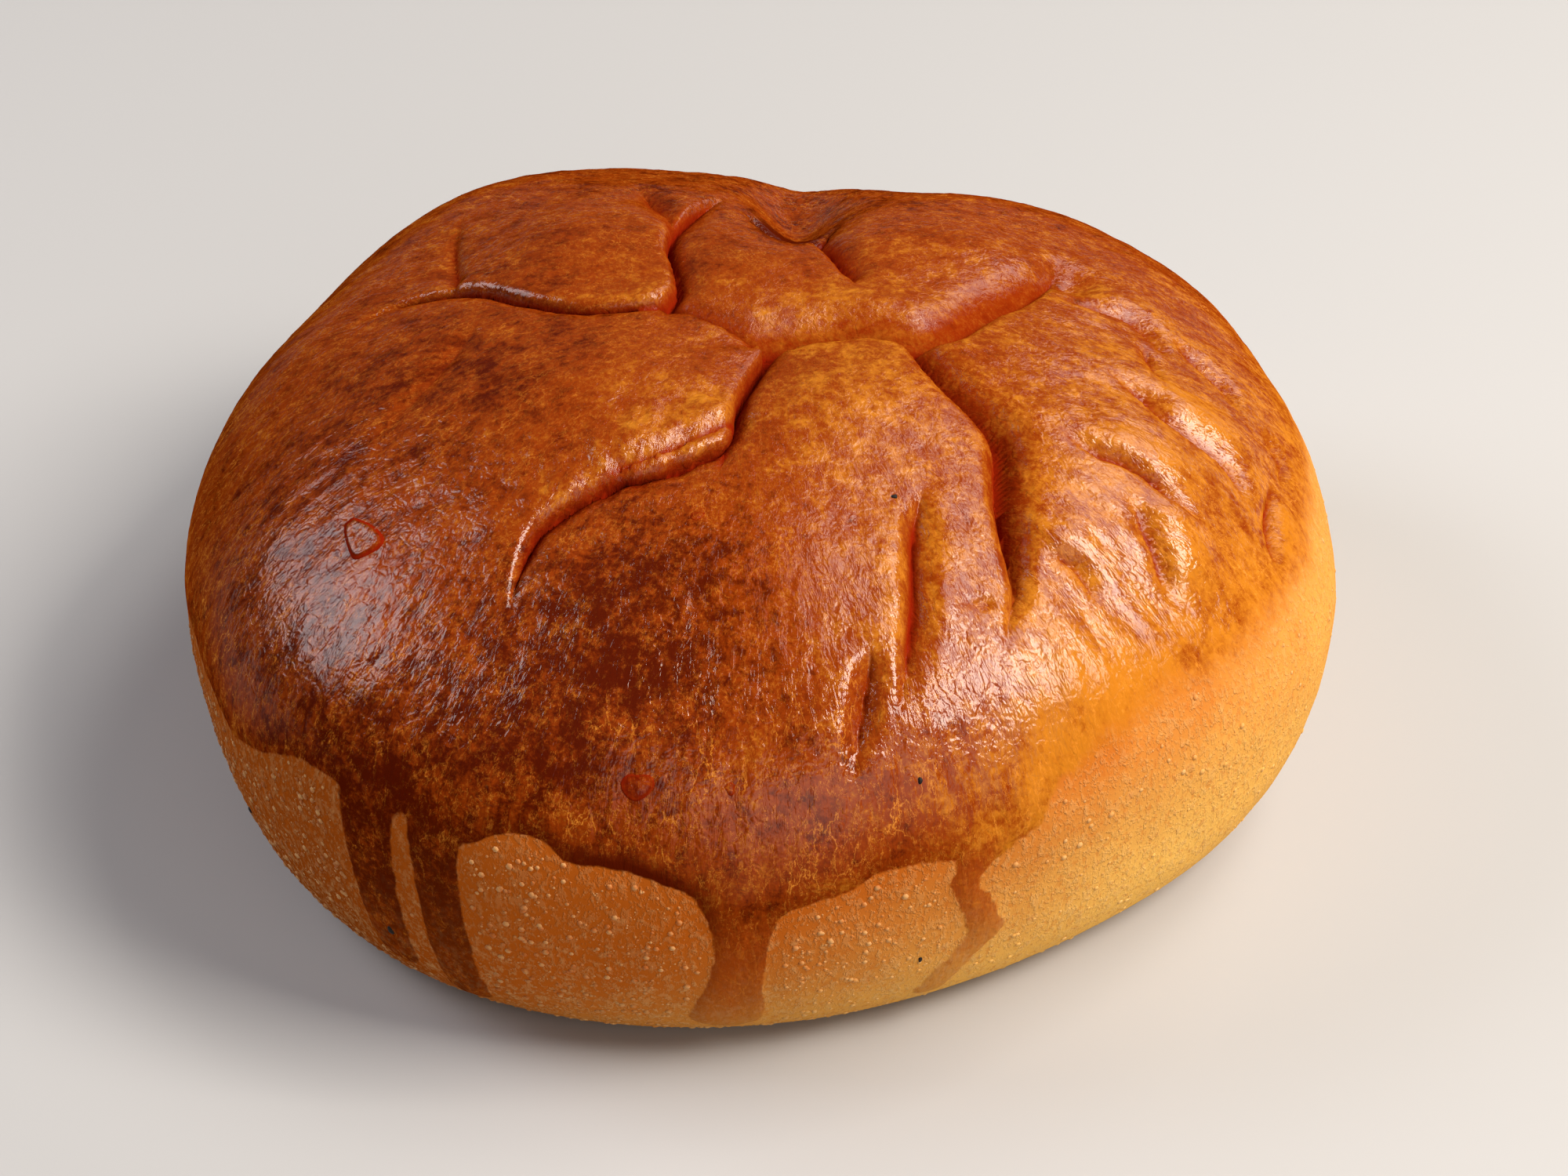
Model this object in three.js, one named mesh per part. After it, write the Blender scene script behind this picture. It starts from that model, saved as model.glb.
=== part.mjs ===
// A glazed barbecue pork bun: one soft domed roll of dough, gathered at the top so that its flaps meet
// in deep pleats, and flat underneath where it stood to bake.
// Millimetres, +Z up. The origin is the middle of the flat underside. +X runs along the longer side and
// the front of the bun, with the gentler pleats, faces -Y.
//
// Every pleat, swelling and hollow is placed on the skin: the point (u, v) is reached by going
// hypot(u, v) millimetres from the crown down the dome, in the direction of u along X and v along Y.
import * as THREE from "three";

// The plain dome
const MEAN_RADIUS = 56.7; // at the widest level, before the lobes
const HEIGHT = 49.5; // of the crown, before the swellings
const WIDEST_LEVEL = 22; // height at which the bun is widest
const FOOT_SHARE = 0.81; // radius of the flat underside over the widest radius
const TOP_POWER = 2.02; // roundness of the profile above the widest level, 2 being an ellipse
const FOOT_POWER = 2.07; // and below it
const LEAN = new THREE.Vector2(-0.054, -0.017); // loss of height towards the right and the back
const CROWN = new THREE.Vector2(-0.87, 0.44); // where the crown stands over the underside

// Lobes of the outline: count round the bun, share of the radius, direction of the first in degrees
const LOBES = [
  { count: 2, share: 0.025, towards: 22 },
  { count: 3, share: 0.034, towards: 7 },
  { count: 4, share: 0.0265, towards: 39 },
  { count: 5, share: 0.023, towards: 46 },
  { count: 6, share: 0.011, towards: -10 },
];

// Pleats, each a line on the skin. The main ones start where the dough is gathered.
// left, right: how far each flank reaches, seen along the line; a flap's crisp edge has the short flank.
// fadeIn, fadeOut: shares of the line over which the pleat deepens and dies away.
// open: how much of the section is an open valley, the rest being two rounded shoulders.
// lip: height of a rim along the right flank, or along the left one when it is below zero.
const PLEATS = {
  backOverFront: {
    line: [
      [1.5, -5], [6, -3.8], [11, -2.8], [14.8, -3.6], [18, -2.6], [20.5, -0.6],
      [23.5, 3.8], [26, 6.6], [28, 10.5], [29.2, 15], [30, 20],
    ],
    depth: 3.6, left: 5.5, right: 1.8, fadeIn: 0, fadeOut: 0.35, open: 0.45, lip: 0,
  },
  leftGap: {
    line: [[1.5, -5], [0.5, -7.5], [-0.8, -11.2], [-1.8, -14.6], [-2.2, -17], [-2.6, -20], [-3.4, -23]],
    depth: 4.4, left: 2.6, right: 1.4, fadeIn: 0, fadeOut: 0.3, open: 0.2, lip: 0,
  },
  leftLip: {
    line: [
      [-2.2, -17], [-2.8, -20], [-4.8, -21.8], [-8, -23.4], [-12.6, -24.7],
      [-16, -26.6], [-19, -28.8], [-20.3, -31.5], [-21.2, -35], [-21.8, -39],
    ],
    depth: 2.8, left: 3.2, right: 1.7, fadeIn: 0, fadeOut: 0.35, open: 0.2, lip: 0.5,
  },
  leftOverBack: {
    line: [[1.5, -5], [-0.2, -4.2], [-2, -2.8], [-4.6, -1.6], [-8.8, 0.6]],
    depth: 2.8, left: 1.4, right: 4, fadeIn: 0, fadeOut: 0.02, open: 0.2, lip: 0,
  },
  leftFromBack: {
    line: [
      [-8.8, 0.6], [-12, 0.5], [-16.5, 0.4], [-20.2, 1.6], [-23.8, 3.5],
      [-27, 6.1], [-30.5, 7.9], [-35, 8.6], [-39.5, 8], [-43, 6],
    ],
    depth: 2, left: 3, right: 1.3, fadeIn: 0, fadeOut: 0.45, open: 0.2, lip: 0.3,
  },
  backLeft: {
    line: [[-8.8, 0.6], [-7.9, 4], [-8, 8], [-8.4, 10.5], [-8, 15], [-6.5, 20], [-4.5, 25], [-2, 30]],
    depth: 3, left: 1.5, right: 4, fadeIn: 0, fadeOut: 0.5, open: 0.2, lip: -0.3,
  },
  backFork: {
    line: [[-8, 13], [-9.4, 20], [-11, 25.5], [-12.6, 30.6]],
    depth: 1.5, left: 3, right: 3, fadeIn: 0.1, fadeOut: 0.5, open: 0.7, lip: 0,
  },
  leftEdge: {
    line: [[-30.2, 8], [-31.2, 14], [-31.2, 20], [-30, 26]],
    depth: 1, left: 3, right: 1.5, fadeIn: 0.1, fadeOut: 0.5, open: 0.2, lip: 0,
  },
  backNotch: {
    line: [[-1.4, 26], [1, 20.8], [2.8, 18.2], [4.8, 16.6], [7, 18.5], [8.4, 24]],
    depth: 3.6, left: 3.5, right: 1.3, fadeIn: 0.3, fadeOut: 0.4, open: 0.2, lip: 0,
  },
  backWedge: {
    line: [[9.6, 4.2], [8.8, 7], [7.9, 11], [7.6, 16], [8, 22], [9, 28]],
    depth: 2.4, left: 1.5, right: 3, fadeIn: 0.15, fadeOut: 0.5, open: 0.4, lip: 0,
  },
  rightValley: {
    line: [
      [14.8, -3.6], [16.5, -6.6], [19.2, -10.6], [22, -13.8], [23.7, -16.6], [24.1, -20.5],
      [24.4, -24.5], [25.1, -28.5], [25.9, -32.5], [26.1, -35.6], [25.4, -39], [25, -43],
    ],
    depth: 3.8, left: 3.2, right: 2, fadeIn: 0, fadeOut: 0.4, open: 0.5, lip: 0.2,
  },
  frontStep: {
    line: [
      [16.8, -24.5], [16.2, -28.5], [15.8, -32.5], [15.8, -38.8], [15.4, -43.2], [14.9, -47], [14, -52],
    ],
    depth: 1.5, left: 3, right: 1.9, fadeIn: 0.25, fadeOut: 0.4, open: 0.6, lip: 0.4,
  },
  lowFrontStep: {
    line: [[11.6, -43], [11.3, -47], [10.8, -51], [10, -56.5]],
    depth: 1.3, left: 2.2, right: 2.6, fadeIn: 0.35, fadeOut: 0.4, open: 0.6, lip: 0.3,
  },
  rightUpper: {
    line: [[33, -2.4], [36.8, -5], [39, -7.4], [42, -8.8], [45.4, -9.8], [47.4, -11.6], [48.4, -15]],
    depth: 1.4, left: 3.2, right: 1.1, fadeIn: 0.3, fadeOut: 0.35, open: 0.8, lip: -0.5,
  },
  rightMiddle: {
    line: [
      [27.5, -12.6], [29, -14.4], [32.2, -16], [34.8, -16.4],
      [37.6, -17.6], [40.6, -19.2], [44.2, -21],
    ],
    depth: 1.1, left: 2.6, right: 1.1, fadeIn: 0.35, fadeOut: 0.4, open: 0.8, lip: -0.4,
  },
  rightLower: {
    line: [[35.2, -19.4], [37, -23.2], [38.6, -25.6], [40.2, -28.6], [42, -31.4]],
    depth: 1, left: 2.6, right: 1.1, fadeIn: 0.35, fadeOut: 0.4, open: 0.7, lip: -0.4,
  },
  rightInner: {
    line: [[27.4, -29.6], [29.4, -29.9], [31.4, -30.6], [33, -32.4], [34.6, -35]],
    depth: 0.8, left: 2.4, right: 1.2, fadeIn: 0.35, fadeOut: 0.45, open: 0.7, lip: -0.3,
  },
  rightCrown: {
    line: [[29, 8.6], [32, 10], [35.8, 10.4], [38.4, 9.4], [40.2, 7], [42, 4]],
    depth: 1, left: 2.6, right: 1.2, fadeIn: 0.35, fadeOut: 0.4, open: 0.7, lip: -0.4,
  },
  rightShort: {
    line: [[37.6, 6.4], [38.8, 4], [39.4, 1], [39.6, -2.4]],
    depth: 0.7, left: 1.4, right: 2.2, fadeIn: 0.35, fadeOut: 0.4, open: 0.5, lip: 0.3,
  },
  rightTop: {
    line: [[41, 10], [44.5, 7], [47.5, 4], [49, 0]],
    depth: 0.9, left: 2.4, right: 1.2, fadeIn: 0.35, fadeOut: 0.4, open: 0.7, lip: -0.4,
  },
  rightRim: {
    line: [[50.4, -0.2], [52.6, -1.2], [53.8, -4.4], [53, -8]],
    depth: 0.9, left: 2, right: 1.2, fadeIn: 0.3, fadeOut: 0.4, open: 0.5, lip: -0.2,
  },
  rightOuter: {
    line: [[51.8, -7.6], [51.4, -12], [51.8, -16], [53.4, -20.5]],
    depth: 1.1, left: 2.2, right: 1.4, fadeIn: 0.3, fadeOut: 0.35, open: 0.6, lip: -0.4,
  },
  leftFaint: {
    line: [[-26.6, 1], [-28.7, -4.2], [-30.6, -8], [-33.5, -13], [-36, -18]],
    depth: 0.8, left: 4, right: 3, fadeIn: 0.3, fadeOut: 0.5, open: 0.7, lip: 0,
  },
  lipNotch: {
    line: [[-2.3, -19.5], [-2.7, -22.5], [-3.4, -26]],
    depth: 1.2, left: 1.4, right: 1.4, fadeIn: 0, fadeOut: 0.6, open: 0.3, lip: 0,
  },
};
const WIDE_SHARE = 0.12; // share of a pleat's depth that reaches out far
const WIDE_REACH = 3.2; // how far that is, as a multiple of the flank's own reach
const END_WIDTH = 0.4; // a pleat's width where it runs out, as a share of its full width
const VALLEY_POWER = 1.5; // steepness of an open valley at its bottom
const RIM_FADE = 1.5; // how fast a rim falls away inland, as a multiple of the flank's reach
const CROSSING_POWER = 4; // keeps the crossing of two pleats from being deeper than the deeper one

// Swellings of the flaps and, with a height below zero, hollows: middle, spread and height
const SWELLINGS = {
  frontFlap: { middle: [8.5, -12], spread: [9, 8], height: 1.2 },
  leftFlap: { middle: [-13, -12], spread: [14, 10], height: 1 },
  backLeftFlap: { middle: [-19, 12], spread: [10, 9], height: 1.5 },
  backRightFlap: { middle: [21, 13], spread: [9, 8], height: 1.2 },
  backFlap: { middle: [0, 8], spread: [7, 8], height: 0.5 },
  backRoll: { middle: [12, 1.5], spread: [8, 4], height: 1.2 },
  rightFlap: { middle: [36, -12], spread: [10, 12], height: 1 },
  rightRidge: { middle: [42, -5], spread: [5, 3], height: 0.6 },
  rightFold: { middle: [36, -1.5], spread: [4, 3], height: 0.5 },
  besideValley: { middle: [27.5, -12.5], spread: [4, 3], height: 0.5 },
  rightBand: { middle: [37, -14.4], spread: [6, 2.2], height: 0.35 },
  rightCheek: { middle: [40.6, -23.6], spread: [4, 4.5], height: 0.8 },
  innerCheek: { middle: [30, -26.5], spread: [4, 3.5], height: 0.6 },
  rightShoulder: { middle: [32, -43], spread: [7, 8], height: 0.9 },
  backLobe: { middle: [-14, 38], spread: [14, 14], height: -1 },
  gatheredMiddle: { middle: [2, -4], spread: [12, 11], height: -1.6 },
  backHollow: { middle: [5.1, 32], spread: [4.9, 14], height: -4 },
  rightPit: { middle: [31, 14], spread: [2.5, 2.5], height: -1.8 },
};

// The slight unevenness of risen dough: two waves with their heights, turns per mm (in radians) and starts
const BROAD_WAVE = { height: 0.35, turnU: 0.12, turnV: 0.14, startU: 1.3, startV: 0.4 };
const SLANTING_WAVE = { height: 0.15, turnU: 0.23, turnV: -0.19, start: 2.1 };
const EVEN_REACH = 50; // distance from the foot over which the waves die away

// The mesh: a net of triangles over the skin, with rows of corners along every pleat
const PROFILE_STEPS = 400; // per half of the profile, for measuring along it
const NORMAL_STEP = 0.05; // distance over which the dome's slope is measured
const LINE_STEPS = 8; // straight pieces between two points of a pleat's line
const ROW_STEP = 1.25; // between two corners along a pleat
const ROWS = [0, 0.65, 1.4, 2.4, 3.8]; // distances of the rows from a pleat's line, on both its sides
const ROW_SLACK = 0.01; // a row ends where another pleat's line is nearer than its own by this much
const TOP_SPACING = 2.1; // between corners elsewhere on the pleated top
const FLANK_SPACING = 3.8; // and down the flank
const TOP_REACH = 52; // how far down the skin the top goes
const NEAREST_SHARE = 0.62; // corners nearer to another than this share of their own spacing are left out
const FOOT_COLUMNS = 120; // corners round the edge of the underside
const UNDERSIDE_RING = 0.5; // share of the foot's radius
const FAR_AWAY = 1e5; // corners of the triangle that the net is cut from
const BROWNED_CRUST = { color: 0xa8541a, roughness: 0.38, metalness: 0 };

const clamp01 = (x) => THREE.MathUtils.clamp(x, 0, 1);
const ease = (x) => clamp01(x) ** 2 * (3 - 2 * clamp01(x));

// Half of the dome's section from the crown to the edge of the underside: radius share, height and the
// distance along the skin.
function profile() {
  const points = [];
  for (let i = 0; i <= PROFILE_STEPS; i++) {
    const turn = (i / PROFILE_STEPS) * (Math.PI / 2);
    const radius = Math.sin(turn) ** (2 / TOP_POWER);
    const height = WIDEST_LEVEL + (HEIGHT - WIDEST_LEVEL) * Math.cos(turn) ** (2 / TOP_POWER);
    points.push({ radius, height });
  }
  for (let i = 1; i <= PROFILE_STEPS; i++) {
    const turn = (i / PROFILE_STEPS) * (Math.PI / 2);
    const radius = FOOT_SHARE + (1 - FOOT_SHARE) * Math.cos(turn) ** (2 / FOOT_POWER);
    const height = WIDEST_LEVEL * (1 - Math.sin(turn) ** (2 / FOOT_POWER));
    points.push({ radius, height });
  }
  points[0].along = 0;
  for (let i = 1; i < points.length; i++) {
    const run = (points[i].radius - points[i - 1].radius) * MEAN_RADIUS;
    points[i].along = points[i - 1].along + Math.hypot(run, points[i].height - points[i - 1].height);
  }
  return points;
}

const PROFILE = profile();
const FOOT_REACH = PROFILE[PROFILE.length - 1].along; // down the skin from the crown to the underside

// Radius share and height at a distance down the skin.
function profileAt(reach) {
  let low = 0;
  let high = PROFILE.length - 1;
  while (high - low > 1) {
    const middle = (low + high) >> 1;
    if (PROFILE[middle].along > reach) high = middle;
    else low = middle;
  }
  const [a, b] = [PROFILE[low], PROFILE[high]];
  const share = clamp01((reach - a.along) / (b.along - a.along));
  return {
    radius: THREE.MathUtils.lerp(a.radius, b.radius, share),
    height: THREE.MathUtils.lerp(a.height, b.height, share),
  };
}

// Radius of the outline, seen from above, in a direction.
function outline(angle) {
  let sum = 1;
  for (const { count, share, towards } of LOBES)
    sum += share * Math.cos(count * (angle - THREE.MathUtils.degToRad(towards)));
  return MEAN_RADIUS * sum;
}

// The plain dome's point under a place on the skin.
function domePoint(u, v) {
  const angle = Math.atan2(v, u);
  const { radius, height } = profileAt(Math.hypot(u, v));
  const x = radius * outline(angle) * Math.cos(angle);
  const y = radius * outline(angle) * Math.sin(angle);
  const lean = 1 + (LEAN.x * x + LEAN.y * y) / MEAN_RADIUS;
  return new THREE.Vector3(x + CROWN.x, y + CROWN.y, height * lean);
}

function domeNormal(u, v) {
  const alongU = domePoint(u + NORMAL_STEP, v).sub(domePoint(u - NORMAL_STEP, v));
  const alongV = domePoint(u, v + NORMAL_STEP).sub(domePoint(u, v - NORMAL_STEP));
  return alongU.cross(alongV).normalize();
}

// A pleat's line as short straight pieces, with the distance from its start to each.
function layLine(points) {
  const spline = new THREE.SplineCurve(points.map(([u, v]) => new THREE.Vector2(u, v)));
  const bends = spline.getPoints((points.length - 1) * LINE_STEPS);
  const pieces = [];
  let start = 0;
  for (let i = 1; i < bends.length; i++) {
    const from = bends[i - 1];
    const length = from.distanceTo(bends[i]);
    const along = bends[i].clone().sub(from).divideScalar(length);
    pieces.push({ from, along, length, start });
    start += length;
  }
  return { pieces, length: start };
}

const LAID_PLEATS = Object.values(PLEATS).map((pleat) => ({ ...pleat, ...layLine(pleat.line) }));

// How far from a line a place is, on which side, 1 being the left, and how far along it as a share.
function besideLine({ pieces, length }, u, v) {
  const nearest = { distance: Infinity };
  for (const { from, along, length: pieceLength, start } of pieces) {
    const forward = THREE.MathUtils.clamp((u - from.x) * along.x + (v - from.y) * along.y, 0, pieceLength);
    const du = u - from.x - along.x * forward;
    const dv = v - from.y - along.y * forward;
    const distance = Math.hypot(du, dv);
    if (distance >= nearest.distance) continue;
    nearest.distance = distance;
    nearest.share = (start + forward) / length;
    nearest.side = dv * along.x - du * along.y >= 0 ? 1 : -1;
  }
  return nearest;
}

// What one pleat does at a place: how deep it cuts and how high its rim stands.
function pleatAt(pleat, u, v) {
  const { distance, side, share } = besideLine(pleat, u, v);
  const opening = pleat.fadeIn ? ease(share / pleat.fadeIn) : 1;
  const strength = opening * ease((1 - share) / pleat.fadeOut);
  const flank = side > 0 ? pleat.left : pleat.right;
  const across = distance / (flank * (END_WIDTH + (1 - END_WIDTH) * strength));
  const inward = 1 - clamp01(across);
  const shoulder = Math.sqrt(1 - inward ** 2);
  const section = pleat.open * inward ** VALLEY_POWER + (1 - pleat.open) * (1 - shoulder);
  const fall = (1 - WIDE_SHARE) * section + WIDE_SHARE * (1 - ease(across / WIDE_REACH));
  const inland = Math.exp(-((Math.max(across - 1, 0) / RIM_FADE) ** 2));
  const rimmed = side * pleat.lip < 0;
  return {
    depth: pleat.depth * strength * fall,
    rim: rimmed ? Math.abs(pleat.lip) * strength * ease(across) * inland : 0,
  };
}

// How far all the pleats together lower the skin.
function pleatDepth(u, v) {
  let sum = 0;
  let rims = 0;
  for (const pleat of LAID_PLEATS) {
    const { depth, rim } = pleatAt(pleat, u, v);
    sum += depth ** CROSSING_POWER;
    rims += rim;
  }
  return sum ** (1 / CROSSING_POWER) - rims;
}

function swelling(u, v) {
  let sum = 0;
  for (const { middle, spread, height } of Object.values(SWELLINGS))
    sum += height * Math.exp(-(((u - middle[0]) / spread[0]) ** 2) - ((v - middle[1]) / spread[1]) ** 2);
  return sum;
}

function unevenness(u, v) {
  const { height, turnU, turnV, startU, startV } = BROAD_WAVE;
  const broad = height * Math.sin(turnU * u + startU) * Math.sin(turnV * v + startV);
  const slope = SLANTING_WAVE.turnU * u + SLANTING_WAVE.turnV * v + SLANTING_WAVE.start;
  const slanting = SLANTING_WAVE.height * Math.sin(slope);
  return (broad + slanting) * ease((FOOT_REACH - Math.hypot(u, v)) / EVEN_REACH);
}

function crustPoint(u, v) {
  const rise = swelling(u, v) + unevenness(u, v) - pleatDepth(u, v);
  return domePoint(u, v).addScaledVector(domeNormal(u, v), rise);
}

// Corners of the net. One that would come too near to another is left out. They are kept in the
// squares of a grid, so that only the neighbours of a new one are measured.
class Corners {
  places = [];
  squares = new Map();

  add(u, v, apart) {
    const [column, row] = [Math.floor(u / FLANK_SPACING), Math.floor(v / FLANK_SPACING)];
    for (let i = column - 1; i <= column + 1; i++)
      for (let j = row - 1; j <= row + 1; j++)
        for (const [otherU, otherV] of this.squares.get(`${i} ${j}`) ?? [])
          if (Math.hypot(otherU - u, otherV - v) < apart) return;
    const square = `${column} ${row}`;
    this.squares.set(square, [...(this.squares.get(square) ?? []), [u, v]]);
    this.places.push([u, v]);
  }

  // A row beside a pleat's line, on the left when the offset is above zero.
  addRow({ pieces, length }, offset) {
    const steps = Math.round(length / ROW_STEP);
    for (let i = 0; i <= steps; i++) {
      const at = (length * i) / steps;
      const { from, along, start } = pieces.findLast((piece) => piece.start <= at);
      const u = from.x + along.x * (at - start) - along.y * offset;
      const v = from.y + along.y * (at - start) + along.x * offset;
      const nearest = Math.min(...LAID_PLEATS.map((pleat) => besideLine(pleat, u, v).distance));
      if (nearest < Math.abs(offset) - ROW_SLACK) continue;
      this.add(u, v, Math.max(Math.abs(offset), ROW_STEP) * NEAREST_SHARE);
    }
  }

  // Staggered rings that fill a band of the skin.
  addBand(spacing, from, to) {
    const rings = Math.round((to - from) / (spacing * Math.sin(Math.PI / 3)));
    for (let ring = 0; ring <= rings; ring++) {
      const reach = from + ((to - from) * ring) / rings;
      this.addRing(reach, Math.max(1, Math.round((2 * Math.PI * reach) / spacing)), ring % 2, spacing);
    }
  }

  addRing(reach, count, staggered, spacing) {
    for (let i = 0; i < count; i++) {
      const angle = (2 * Math.PI * (i + staggered / 2)) / count;
      this.add(reach * Math.cos(angle), reach * Math.sin(angle), spacing * NEAREST_SHARE);
    }
  }
}

// The places of the net's corners: the edge of the underside, the rows along the pleats, and the rest.
function netPlaces() {
  const corners = new Corners();
  corners.addRing(FOOT_REACH, FOOT_COLUMNS, 0, 0);
  for (const row of ROWS)
    for (const pleat of LAID_PLEATS)
      for (const offset of new Set([row, -row])) corners.addRow(pleat, offset);
  corners.addBand(TOP_SPACING, 0, TOP_REACH);
  corners.addBand(FLANK_SPACING, TOP_REACH, FOOT_REACH - FLANK_SPACING * NEAREST_SHARE);
  return corners.places;
}

// The circle through three places, as its middle and its squared radius.
function circleThrough([au, av], [bu, bv], [cu, cv]) {
  const [pu, pv, qu, qv] = [bu - au, bv - av, cu - au, cv - av];
  const [p, q, twice] = [pu * pu + pv * pv, qu * qu + qv * qv, 2 * (pu * qv - pv * qu)];
  const [u, v] = [(qv * p - pv * q) / twice, (pu * q - qu * p) / twice];
  return { u: u + au, v: v + av, squared: u * u + v * v };
}

// Joins places into triangles, each of whose circles holds no other place. They turn anticlockwise.
function joinPlaces(places) {
  const count = places.length;
  const all = [...places, [-FAR_AWAY, -FAR_AWAY], [FAR_AWAY, -FAR_AWAY], [0, FAR_AWAY]];
  const triangle = (a, b, c) => ({ corners: [a, b, c], ...circleThrough(all[a], all[b], all[c]) });
  const order = places.map((_, i) => i).sort((i, j) => places[i][0] - places[j][0]);
  let open = [triangle(count, count + 1, count + 2)];
  const done = [];
  for (const index of order) {
    const [u, v] = all[index];
    const edges = new Map();
    const kept = [];
    for (const one of open) {
      if (u > one.u && (u - one.u) ** 2 > one.squared) done.push(one);
      else if ((u - one.u) ** 2 + (v - one.v) ** 2 >= one.squared) kept.push(one);
      else
        for (const [i, j] of [[0, 1], [1, 2], [2, 0]]) {
          const [from, to] = [one.corners[i], one.corners[j]];
          if (!edges.delete(`${to} ${from}`)) edges.set(`${from} ${to}`, [from, to]);
        }
    }
    open = [...kept, ...[...edges.values()].map(([from, to]) => triangle(from, to, index))];
  }
  const triples = [...done, ...open].map(({ corners }) => corners);
  return triples.filter((corners) => Math.max(...corners) < count);
}

function bunGeometry() {
  const places = netPlaces();
  const vertices = places.map(([u, v]) => crustPoint(u, v));
  const faces = joinPlaces(places).flat();
  const foot = vertices.slice(0, FOOT_COLUMNS);
  for (const point of foot) point.z = 0;
  vertices.push(...foot.map((point) => point.clone().multiplyScalar(UNDERSIDE_RING)));
  vertices.push(new THREE.Vector3(0, 0, 0));
  for (let i = 0; i < FOOT_COLUMNS; i++) {
    const next = (i + 1) % FOOT_COLUMNS;
    const inner = places.length;
    faces.push(i, inner + i, inner + next, i, inner + next, next);
    faces.push(inner + i, vertices.length - 1, inner + next);
  }
  const geometry = new THREE.BufferGeometry().setFromPoints(vertices);
  geometry.setIndex(faces);
  geometry.computeVertexNormals();
  return geometry;
}

const bun = new THREE.Mesh(bunGeometry(), new THREE.MeshStandardMaterial(BROWNED_CRUST));
bun.name = "bun";

const model = new THREE.Group();
model.add(bun);

export default model;
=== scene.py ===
# A glazed barbecue pork bun, dressed over its solid: a browned crust with flaps, pleats and wrinkles,
# runs of glaze down a matte flank, blisters, bubbles and scorched specks.
# Metres in the scene, millimetres in the named values below. +Z up, the front towards -Y.
import math
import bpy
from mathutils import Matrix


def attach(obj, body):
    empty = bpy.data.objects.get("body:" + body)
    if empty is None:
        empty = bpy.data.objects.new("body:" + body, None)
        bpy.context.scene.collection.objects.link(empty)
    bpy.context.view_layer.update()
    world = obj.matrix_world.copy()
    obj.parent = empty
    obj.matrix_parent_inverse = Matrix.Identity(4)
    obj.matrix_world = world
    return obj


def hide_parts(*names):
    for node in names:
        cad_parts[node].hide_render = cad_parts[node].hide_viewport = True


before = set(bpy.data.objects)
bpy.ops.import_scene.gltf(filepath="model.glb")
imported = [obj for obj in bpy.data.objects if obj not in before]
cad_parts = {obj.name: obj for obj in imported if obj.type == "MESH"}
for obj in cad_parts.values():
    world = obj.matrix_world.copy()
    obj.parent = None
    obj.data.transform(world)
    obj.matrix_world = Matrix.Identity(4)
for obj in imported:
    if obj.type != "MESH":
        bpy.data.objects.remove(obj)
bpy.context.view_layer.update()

from types import SimpleNamespace

import bpy
import numpy as np
from bpy.props import FloatProperty, FloatVectorProperty, IntProperty, PointerProperty
from mathutils import Vector
from mathutils.bvhtree import BVHTree

bl_info = {
    "name": "Glazed bun",
    "version": (1, 0, 0),
    "blender": (4, 5, 0),
    "location": "View3D > Sidebar > Bun",
    "description": "Shapes and glazes one baked pork bun and sets a stage for it",
    "category": "Object",
}

MM = 0.001

# ---------------------------------------------------------------- the bun's form, as its solid has it
# Every feature is placed on the skin: (u, v) is reached by going hypot(u, v) mm from the crown down the
# dome, in the direction of u along X and v along Y.

TOP_POWER = 2.02  # of the section above its widest level, where 2 is an ellipse
FOOT_POWER = 2.07  # and below it
FOOT_SHARE = 0.81  # radius of the underside, as a share of the widest
LEAN = (-0.054, -0.017)  # share by which the dome is higher one radius along X, and along Y
CROWN = (-0.87, 0.44)  # mm, where the middle of the dome stands
# Lobes of the outline: how many there are round the bun, share of the radius, towards which degrees
LOBES = ((2, 0.025, 22), (3, 0.034, 7), (4, 0.0265, 39), (5, 0.023, 46), (6, 0.011, -10))
BROAD_WAVE, SLANTING_WAVE = 0.35, 0.15  # mm, heights of the dome's unevenness
UNEVEN_FADE = 50  # mm up from the foot over which it grows


class Pleat:
    """A fold on the skin. left and right are the reaches of its two flanks in mm, seen along the line.
    open is the share of a rounded floor, against a sharp one. Above zero, lip raises a rim on the right
    flank and lap pushes that flap over the other one; below zero they do so on the left."""

    def __init__(self, line, depth, left, right, fade_in=0.0, fade_out=0.4, open=0.2, lip=0.0, lap=0.0):
        self.line, self.depth, self.left, self.right = line, depth, left, right
        self.fade_in, self.fade_out, self.open, self.lip, self.lap = fade_in, fade_out, open, lip, lap


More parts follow.
